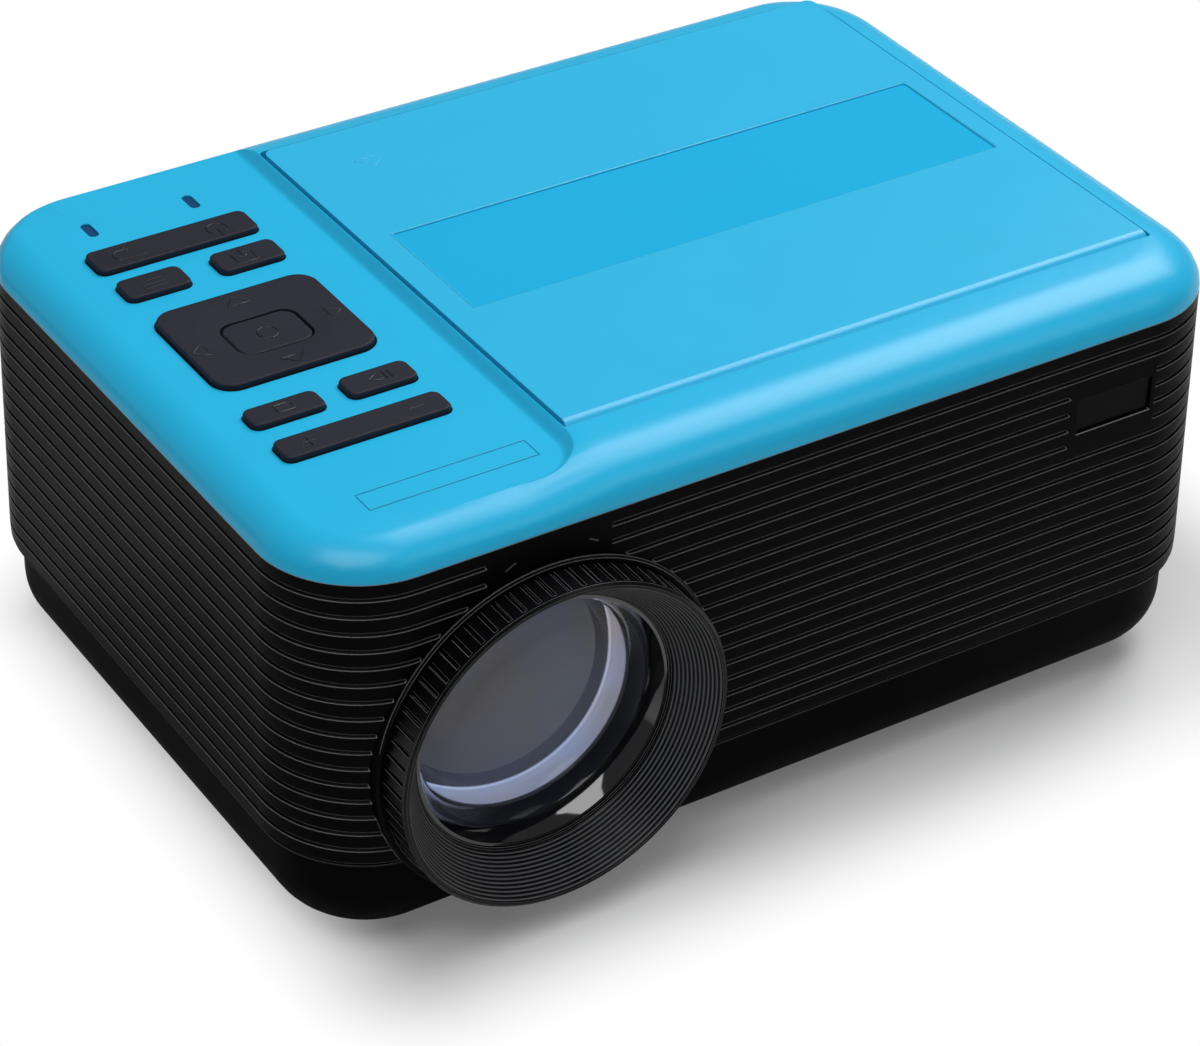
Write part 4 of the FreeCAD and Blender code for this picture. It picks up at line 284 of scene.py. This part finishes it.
def paint_ring_highlights(material):
    """Painted highlights: the funnel of the focus ring is black, with grey lines round the lens in place of
    light catching its moulded rings.
    """
    tree = material.node_tree
    from_axis = vector_maths(tree, "MULTIPLY_ADD", object_place(tree), (1, 0, 1), (-LENS_X, 0, -LENS_Z))
    inner, outer = FUNNEL_RADII
    count = map_range(tree, vector_maths(tree, "LENGTH", from_axis), (inner * MM, outer * MM),
                      (0, FUNNEL_LINES), clamp=False)
    inside = maths(tree, "COMPARE", count, FUNNEL_LINES / 2, FUNNEL_LINES / 2)
    line = maths(tree, "COMPARE", maths(tree, "FRACT", count), 0.5, FUNNEL_LINE_HALF)
    lay_over(material, inside, FUNNEL_BLACK)
    # The grey lines are painted highlights.
    lay_over(material, maths(tree, "MULTIPLY", line, inside), FUNNEL_HIGHLIGHT_GREY)


def make_materials():
    made = [
        plain("cover_blue", (0.016, 0.450, 0.745), 0.30, specular=0.36, grain=0.04, mottle=0.012, edge=0.25),
        # The lid's blue carries more red than the cover's: a painted sheen, so that it looks greyer and
        # lighter, as if catching more reflected light.
        plain("lid_blue", (0.026, 0.450, 0.740), 0.28, specular=0.36, grain=0.04, mottle=0.012, edge=0.35),
        plain("shell_black", (0.0020, 0.0021, 0.0027), 0.36, specular=0.03, grain=0.3, grain_size=0.35,
              edge=0.22),
        plain("base_black", (0.0018, 0.0018, 0.0024), 0.55, specular=0.03, grain=0.3, grain_size=0.35,
              edge=0.25),
        plain("key_black", (0.017, 0.017, 0.027), 0.50, specular=0.18, grain=0.25, edge=0.25),
        plain("symbol_black", (0.002, 0.002, 0.003), 0.30, specular=0.45),
        plain("line_grey", (0.045, 0.045, 0.048), 0.40, specular=0.20),
        plain("ring_black", (0.0022, 0.0022, 0.0028), 0.26, specular=0.20, edge=0.15),
        plain("gloss_black", (0.003, 0.003, 0.004), 0.07, specular=0.8, coat=0.6),
        plain("inner_black", (0.012, 0.012, 0.013), 0.6),
        plain("foot_rubber", (0.006, 0.006, 0.006), 0.8, specular=0.15),
        # The pale blue second colour of the lens is painted reflection.
        glass("lens_glass", (0.40, 0.36, 0.34), (0.34, 0.42, 0.62), clear=0.74),
        plain("diffuser", (0.75, 0.76, 0.78), 0.5),
        plain("ir_smoke", (0.002, 0.002, 0.003), 0.30, specular=0.05),
        plain("light_clear", (0.002, 0.055, 0.16), 0.25, specular=0.3),
        plain("screw_steel", (0.35, 0.35, 0.36), 0.35, metallic=1.0),
        plain("motor_steel", (0.55, 0.55, 0.56), 0.3, metallic=1.0),
        plain("rod_steel", (0.62, 0.62, 0.63), 0.18, metallic=1.0),
        plain("alloy", (0.60, 0.61, 0.62), 0.4, metallic=1.0),
        plain("insert_brass", (0.62, 0.44, 0.16), 0.35, metallic=1.0),
        plain("board_green", (0.010, 0.10, 0.035), 0.45),
        plain("white_plastic", (0.72, 0.72, 0.70), 0.5),
        plain("sleeve_white", (0.72, 0.72, 0.74), 0.5),
        plain("sleeve_edge", (0.80, 0.80, 0.80), 0.4),
        plain("port_metal", (0.55, 0.55, 0.56), 0.32, metallic=1.0),
    ]
    made = {material.name: material for material in made}
    add_stripe(made["lid_blue"])
    # Painted highlights on the edges of the shell, the base and the focus ring; the ring's are on every edge,
    # whichever way it faces.
    paint_edge_highlights(made["shell_black"], (0.28, 0.28, 0.29), width=0.45, lowest=0.20)
    paint_edge_highlights(made["base_black"], (0.08, 0.08, 0.085), width=0.40, lowest=0.25)
    paint_edge_highlights(made["ring_black"], (0.26, 0.26, 0.27), width=0.12, lowest=-1.0)
    paint_ring_highlights(made["ring_black"])
    # Painted glow: the sleeve and its edge emit light so that they look lit through the lens.
    for name, strength in SLEEVE_PAINTED_GLOW.items():
        glowing = made[name].node_tree.nodes["Principled BSDF"]
        glowing.inputs["Emission Color"].default_value = (*SLEEVE_PAINTED_GLOW_COLOUR, 1)
        glowing.inputs["Emission Strength"].default_value = strength
    return made


MATERIALS = make_materials()


# ---- finish of the CAD nodes -----------------------------------------------------------------------------
SMOOTH_ANGLE = math.radians(28)
WELD_DISTANCE = 0.002 * MM


def edge_softener():
    """Shades faces smooth across every edge that is blunter than SMOOTH_ANGLE."""
    tree = bpy.data.node_groups.new("soft_edges", "GeometryNodeTree")
    for way in ("INPUT", "OUTPUT"):
        tree.interface.new_socket("Geometry", in_out=way, socket_type="NodeSocketGeometry")
    start = add_node(tree, "NodeGroupInput").outputs[0]
    angle = add_node(tree, "GeometryNodeInputMeshEdgeAngle").outputs["Unsigned Angle"]
    sharp = add_node(tree, "FunctionNodeCompare", {0: angle, 1: SMOOTH_ANGLE}, data_type="FLOAT",
                     operation="GREATER_THAN").outputs[0]
    faces = add_node(tree, "GeometryNodeSetShadeSmooth", {"Geometry": start}).outputs[0]
    edges = add_node(tree, "GeometryNodeSetShadeSmooth",
                     {"Geometry": faces, "Selection": sharp, "Shade Smooth": False}, domain="EDGE").outputs[0]
    add_node(tree, "NodeGroupOutput", {0: edges})
    return tree


SOFT_EDGES = edge_softener()


def soften(piece):
    piece.modifiers.new("weld", "WELD").merge_threshold = WELD_DISTANCE
    piece.modifiers.new("soften", "NODES").node_group = SOFT_EDGES
    piece.modifiers.new("weights", "WEIGHTED_NORMAL").keep_sharp = True


def dress_nodes():
    for name, piece in frame["nodes"].items():
        piece.data.materials.clear()
        piece.data.materials.append(MATERIALS[SLOTS[name]])
        soften(piece)


dress_nodes()


# ---- beads on the faces: key symbols, outlines and marks -------------------------------------------------
# Two lengths in millimetres describe a bead: its radius, and how far below the face its middle lies.
SYMBOL_BEAD = (0.24, 0.13)
OUTLINE_BEAD = (0.22, 0.11)
ARROW_BEAD = (0.30, 0.18)
BEAD_RESOLUTION = 3
STRIPE_CLEARANCE = 0.35 * MM      # from the stripe to the bead round it
RAY_START = 1.0                   # metres above, or in front of, the origin of the frame
DOWN, INWARD = Vector((0, 0, -1)), Vector((0, 1, 0))
FACES = {}


def face_points(name, places, way, sunk):
    """Points a little below the outer face of a node, where a ray along way meets it at each place."""
    if name not in FACES:
        mesh = frame["nodes"][name].data
        corners, polygons = [v.co for v in mesh.vertices], [p.vertices for p in mesh.polygons]
        FACES[name] = BVHTree.FromPolygons(corners, polygons)
    starts = [Vector((a, b, RAY_START) if way == DOWN else (a, -RAY_START, b)) for a, b in places]
    return [FACES[name].ray_cast(start, way)[0] + way * sunk * MM for start in starts]


def moved(strokes, x, y):
    """Strokes in metres, from strokes in millimetres that start from the place (x, y)."""
    return [[(x + a * MM, y + b * MM) for a, b in stroke] for stroke in strokes]


def arc(x, y, radius, start, end, steps=14):
    """Points on an arc round (x, y) from start to end, in degrees from the direction of x."""
    angles = [math.radians(start + (end - start) * i / steps) for i in range(steps + 1)]
    return [(x + radius * math.cos(a), y + radius * math.sin(a)) for a in angles]


def triangle(x, y, turn, wide=5.4, high=3.0):
    """The closed outline of an arrowhead at (x, y), which points along turn, in degrees."""
    a = math.radians(turn)
    corners = [(high / 2, 0), (-high / 2, wide / 2), (-high / 2, -wide / 2), (high / 2, 0)]
    return [(x + u * math.cos(a) - v * math.sin(a), y + u * math.sin(a) + v * math.cos(a))
            for u, v in corners]


# Strokes in millimetres. A symbol's are measured from the middle of its key, the open mark's from the
# lid's back left corner, and the focus arrows' from the top of the focus ring.
SYMBOLS = {
    "power_back_key": [arc(10.5, -0.5, 2.3, -60, 240), [(10.5, -0.9), (10.5, -3.9)],
                       [(-7.3, -2.1), *arc(-12.1, -0.2, 1.9, 270, 90, 8), (-9.3, 1.7)],
                       [(-10.6, 0.7), (-9.3, 1.7), (-10.6, 2.7)]],
    "source_key": [[(-0.95, 1.3), (1.35, 1.3), (1.35, -2.7), (-3.25, -2.7), (-3.25, 1.3)],
                   [(-0.95, 3.1), (-0.95, -0.5)], [(-1.95, 0.5), (-0.95, -0.7), (0.05, 0.5)]],
    "menu_key": [[(-2.7, y), (2.3, y)] for y in (-2.0, -0.5, 1.0)],
    "stop_key": [[(-1.8, -1.2), (2.0, -1.2), (2.0, 1.5), (-1.8, 1.5), (-1.8, -1.2)]],
    "play_pause_key": [triangle(-0.9, 0.0, 180, 3.0, 2.6), [(1.5, -1.4), (1.5, 1.4)],
                       [(2.7, -1.4), (2.7, 1.4)]],
    "volume_key": [[(-13.9, -0.05), (-10.7, -0.05)], [(-12.3, -1.65), (-12.3, 1.55)],
                   [(10.7, -0.05), (13.9, -0.05)]],
    "dpad": [triangle(-0.1, 13.05, 90), triangle(-0.1, -13.35, 270), triangle(-15.8, -1.15, 180),
             triangle(15.7, -1.15, 0)],
    "ok_key": [arc(0.0, -0.05, 2.2, 0, 360, 28)],
}
OPEN_MARK = [(15.8, -14.1), (23.0, -13.6), (18.8, -18.0), (15.8, -14.1)]
FOCUS_ARROWS = [[(-10.0, 3.2), (-7.6, 4.5)], [(9.3, 4.2), (11.4, 3.1)]]


def add_bead(name, lines, radius, closed=False):
    """One piece with a round bead of that radius, in millimetres, along each line of points."""
    curve = bpy.data.curves.new(name, "CURVE")
    curve.dimensions = "3D"
    curve.bevel_depth = radius * MM
    curve.bevel_resolution = BEAD_RESOLUTION
    curve.use_fill_caps = not closed
    for line in lines:
        spline = curve.splines.new("POLY")
        spline.points.add(len(line) - 1)
        spline.use_cyclic_u = closed
        for point, place in zip(spline.points, line):
            point.co = (*place, 1)
    return add_object(name, curve)


def draw_on(name, node, strokes, bead, look, way=DOWN):
    """Strokes are lists of places in metres: x and y on the top of that node, or x and z on its front."""
    radius, sunk = bead
    piece = add_bead(name, [face_points(node, stroke, way, sunk) for stroke in strokes], radius)
    piece.data.materials.append(MATERIALS[look])
    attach(piece, BODY_OF[node][0])


def make_symbols():
    """The generic symbols on the keys."""
    for key, strokes in SYMBOLS.items():
        low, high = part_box(key)
        middle = (low + high) / 2
        draw_on(key + "_symbols", key, moved(strokes, middle.x, middle.y), SYMBOL_BEAD, "symbol_black")


def make_stripe_outline():
    """The stripe's outline, which is open along the front."""
    x0, x1 = STRIPE_X[0] - STRIPE_CLEARANCE, STRIPE_X[1] + STRIPE_CLEARANCE
    y0, y1 = STRIPE_Y[0], STRIPE_Y[1] + STRIPE_CLEARANCE
    outline = [(x0, y0), (x0, y1), (x1, y1), (x1, y0)]
    draw_on("stripe_outline", "lid", [outline], OUTLINE_BEAD, "lid_blue")


def make_open_mark():
    """The narrow triangle near the lid's outer edge, on the side where it is lifted."""
    outline = moved([OPEN_MARK], LID_LOW.x, LID_HIGH.y)
    draw_on("open_mark", "lid", outline, OUTLINE_BEAD, "lid_blue")


def make_focus_arrows():
    """The two strokes above the focus ring that show which way it turns."""
    strokes = moved(FOCUS_ARROWS, LENS_X, RING_HIGH.z)
    draw_on("focus_arrows", "ribbed_shell", strokes, ARROW_BEAD, "line_grey", INWARD)


make_symbols()
make_stripe_outline()
make_open_mark()
make_focus_arrows()


# ---- sleeve behind the front lens: radius and depth of its section, in millimetres -----------------------
SLEEVE = [(25.35, 12.5), (25.35, 22.5), (23.9, 22.5), (23.9, 22.1), (25.05, 21.2), (25.05, 12.5)]
SLEEVE_EDGE_R = 0.28
SLEEVE_EDGE = (SLEEVE[2][0] + SLEEVE_EDGE_R, SLEEVE[3][1])
TURN_STEPS = 128


def turned(section):
    """The points of a section at each step of a full turn round the lens axis."""
    angles = [2 * math.pi * step / TURN_STEPS for step in range(TURN_STEPS)]
    return [(LENS_X + r * MM * math.cos(a), FRONT + depth * MM, LENS_Z + r * MM * math.sin(a))
            for a in angles for r, depth in section]


def make_sleeve():
    """The pale spacer ring seen through the edge of the front lens. Its material glows with painted light."""
    faces, count = [], len(SLEEVE)
    for step in range(TURN_STEPS):
        low, high = step * count, (step + 1) % TURN_STEPS * count
        for k in range(count):
            after = (k + 1) % count
            faces.append((low + k, low + after, high + after, high + k))
    mesh = bpy.data.meshes.new("lens_sleeve")
    mesh.from_pydata(turned(SLEEVE), [], faces)
    sleeve = add_object("lens_sleeve", mesh)
    mesh.materials.append(MATERIALS["sleeve_white"])
    soften(sleeve)
    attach(sleeve, "lens_barrel")


def make_sleeve_edge():
    """The thin inner edge of the sleeve, at its rear end, made bright by a painted glow."""
    edge = add_bead("sleeve_edge", [turned([SLEEVE_EDGE])], SLEEVE_EDGE_R, closed=True)
    edge.data.materials.append(MATERIALS["sleeve_edge"])
    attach(edge, "lens_barrel")


make_sleeve()
make_sleeve_edge()


# ---- floor and light, in metres --------------------------------------------------------------------------
FLOOR_HALF = 3.0
FLOOR_GLOW = (0.12, 1.0)          # share of plain white that the camera sees in the floor, near and far
GLOW_BOX = (0.110, 0.073)         # half length and half depth of the shaded part of the floor
GLOW_MIDDLE = (0.020, -0.003)
GLOW_REACH = 0.036                # how far outside that box the floor turns plain white
WORLD_COLOUR, WORLD_STRENGTH = (0.96, 0.98, 1.0), 0.18
LAMP_DISTANCE = 1.3
LAMPS = [                         # direction seen from the object, size, and brightness of the face
    ("key", (0.56, 0.20, 0.80), (0.70, 0.85), 5.8),
    ("top", (-0.30, -0.25, 0.92), (0.8, 0.8), 3.6),
    ("rim", (-0.64, 0.69, 0.34), (0.5, 0.25), 0.3),
    ("front_top", (0.45, -0.60, 0.66), (0.5, 0.4), 1.4),
]


def make_floor():
    """A pale floor that takes the shadow. The camera sees it turn plain white away from the object."""
    mesh = bpy.data.meshes.new("floor")
    corners = [(x * FLOOR_HALF, y * FLOOR_HALF, 0) for x, y in ((-1, -1), (1, -1), (1, 1), (-1, 1))]
    mesh.from_pydata(corners, [], [(0, 1, 2, 3)])
    floor = add_object("floor", mesh)
    material = plain("floor_white", (0.68, 0.68, 0.68), 0.9, specular=0.1, mottle=0.0)
    tree = material.node_tree
    from_middle = vector_maths(tree, "SUBTRACT", object_place(tree), (*GLOW_MIDDLE, 0))
    past_box = vector_maths(tree, "SUBTRACT", vector_maths(tree, "ABSOLUTE", from_middle), (*GLOW_BOX, 0))
    distance = vector_maths(tree, "LENGTH", vector_maths(tree, "MAXIMUM", past_box, (0, 0, 0)))
    glow = map_range(tree, distance, (0, GLOW_REACH), FLOOR_GLOW, interpolation_type="SMOOTHSTEP")
    seen = add_node(tree, "ShaderNodeLightPath").outputs["Is Camera Ray"]
    shine_through(material, maths(tree, "MULTIPLY", seen, glow), add_node(tree, "ShaderNodeEmission"))
    floor.data.materials.append(material)


def area_lamp(name, direction, size, radiance):
    """A soft box seen from the object in that direction, with the brightness of its face."""
    place = Vector(direction).normalized() * LAMP_DISTANCE
    data = bpy.data.lights.new(name, "AREA")
    data.shape = "RECTANGLE"
    data.size, data.size_y = size
    data.energy = radiance * math.pi * size[0] * size[1]
    lamp = add_object(name, data)
    lamp.location = place
    lamp.rotation_mode = "QUATERNION"
    lamp.rotation_quaternion = (-place).to_track_quat("-Z", "Y")


def make_light():
    world = bpy.data.worlds.new("world")
    world.use_nodes = True
    background = world.node_tree.nodes["Background"]
    background.inputs["Color"].default_value = (*WORLD_COLOUR, 1)
    background.inputs["Strength"].default_value = WORLD_STRENGTH
    bpy.context.scene.world = world
    for lamp in LAMPS:
        area_lamp(*lamp)


make_floor()
make_light()
bpy.context.scene.view_settings.view_transform = "Standard"
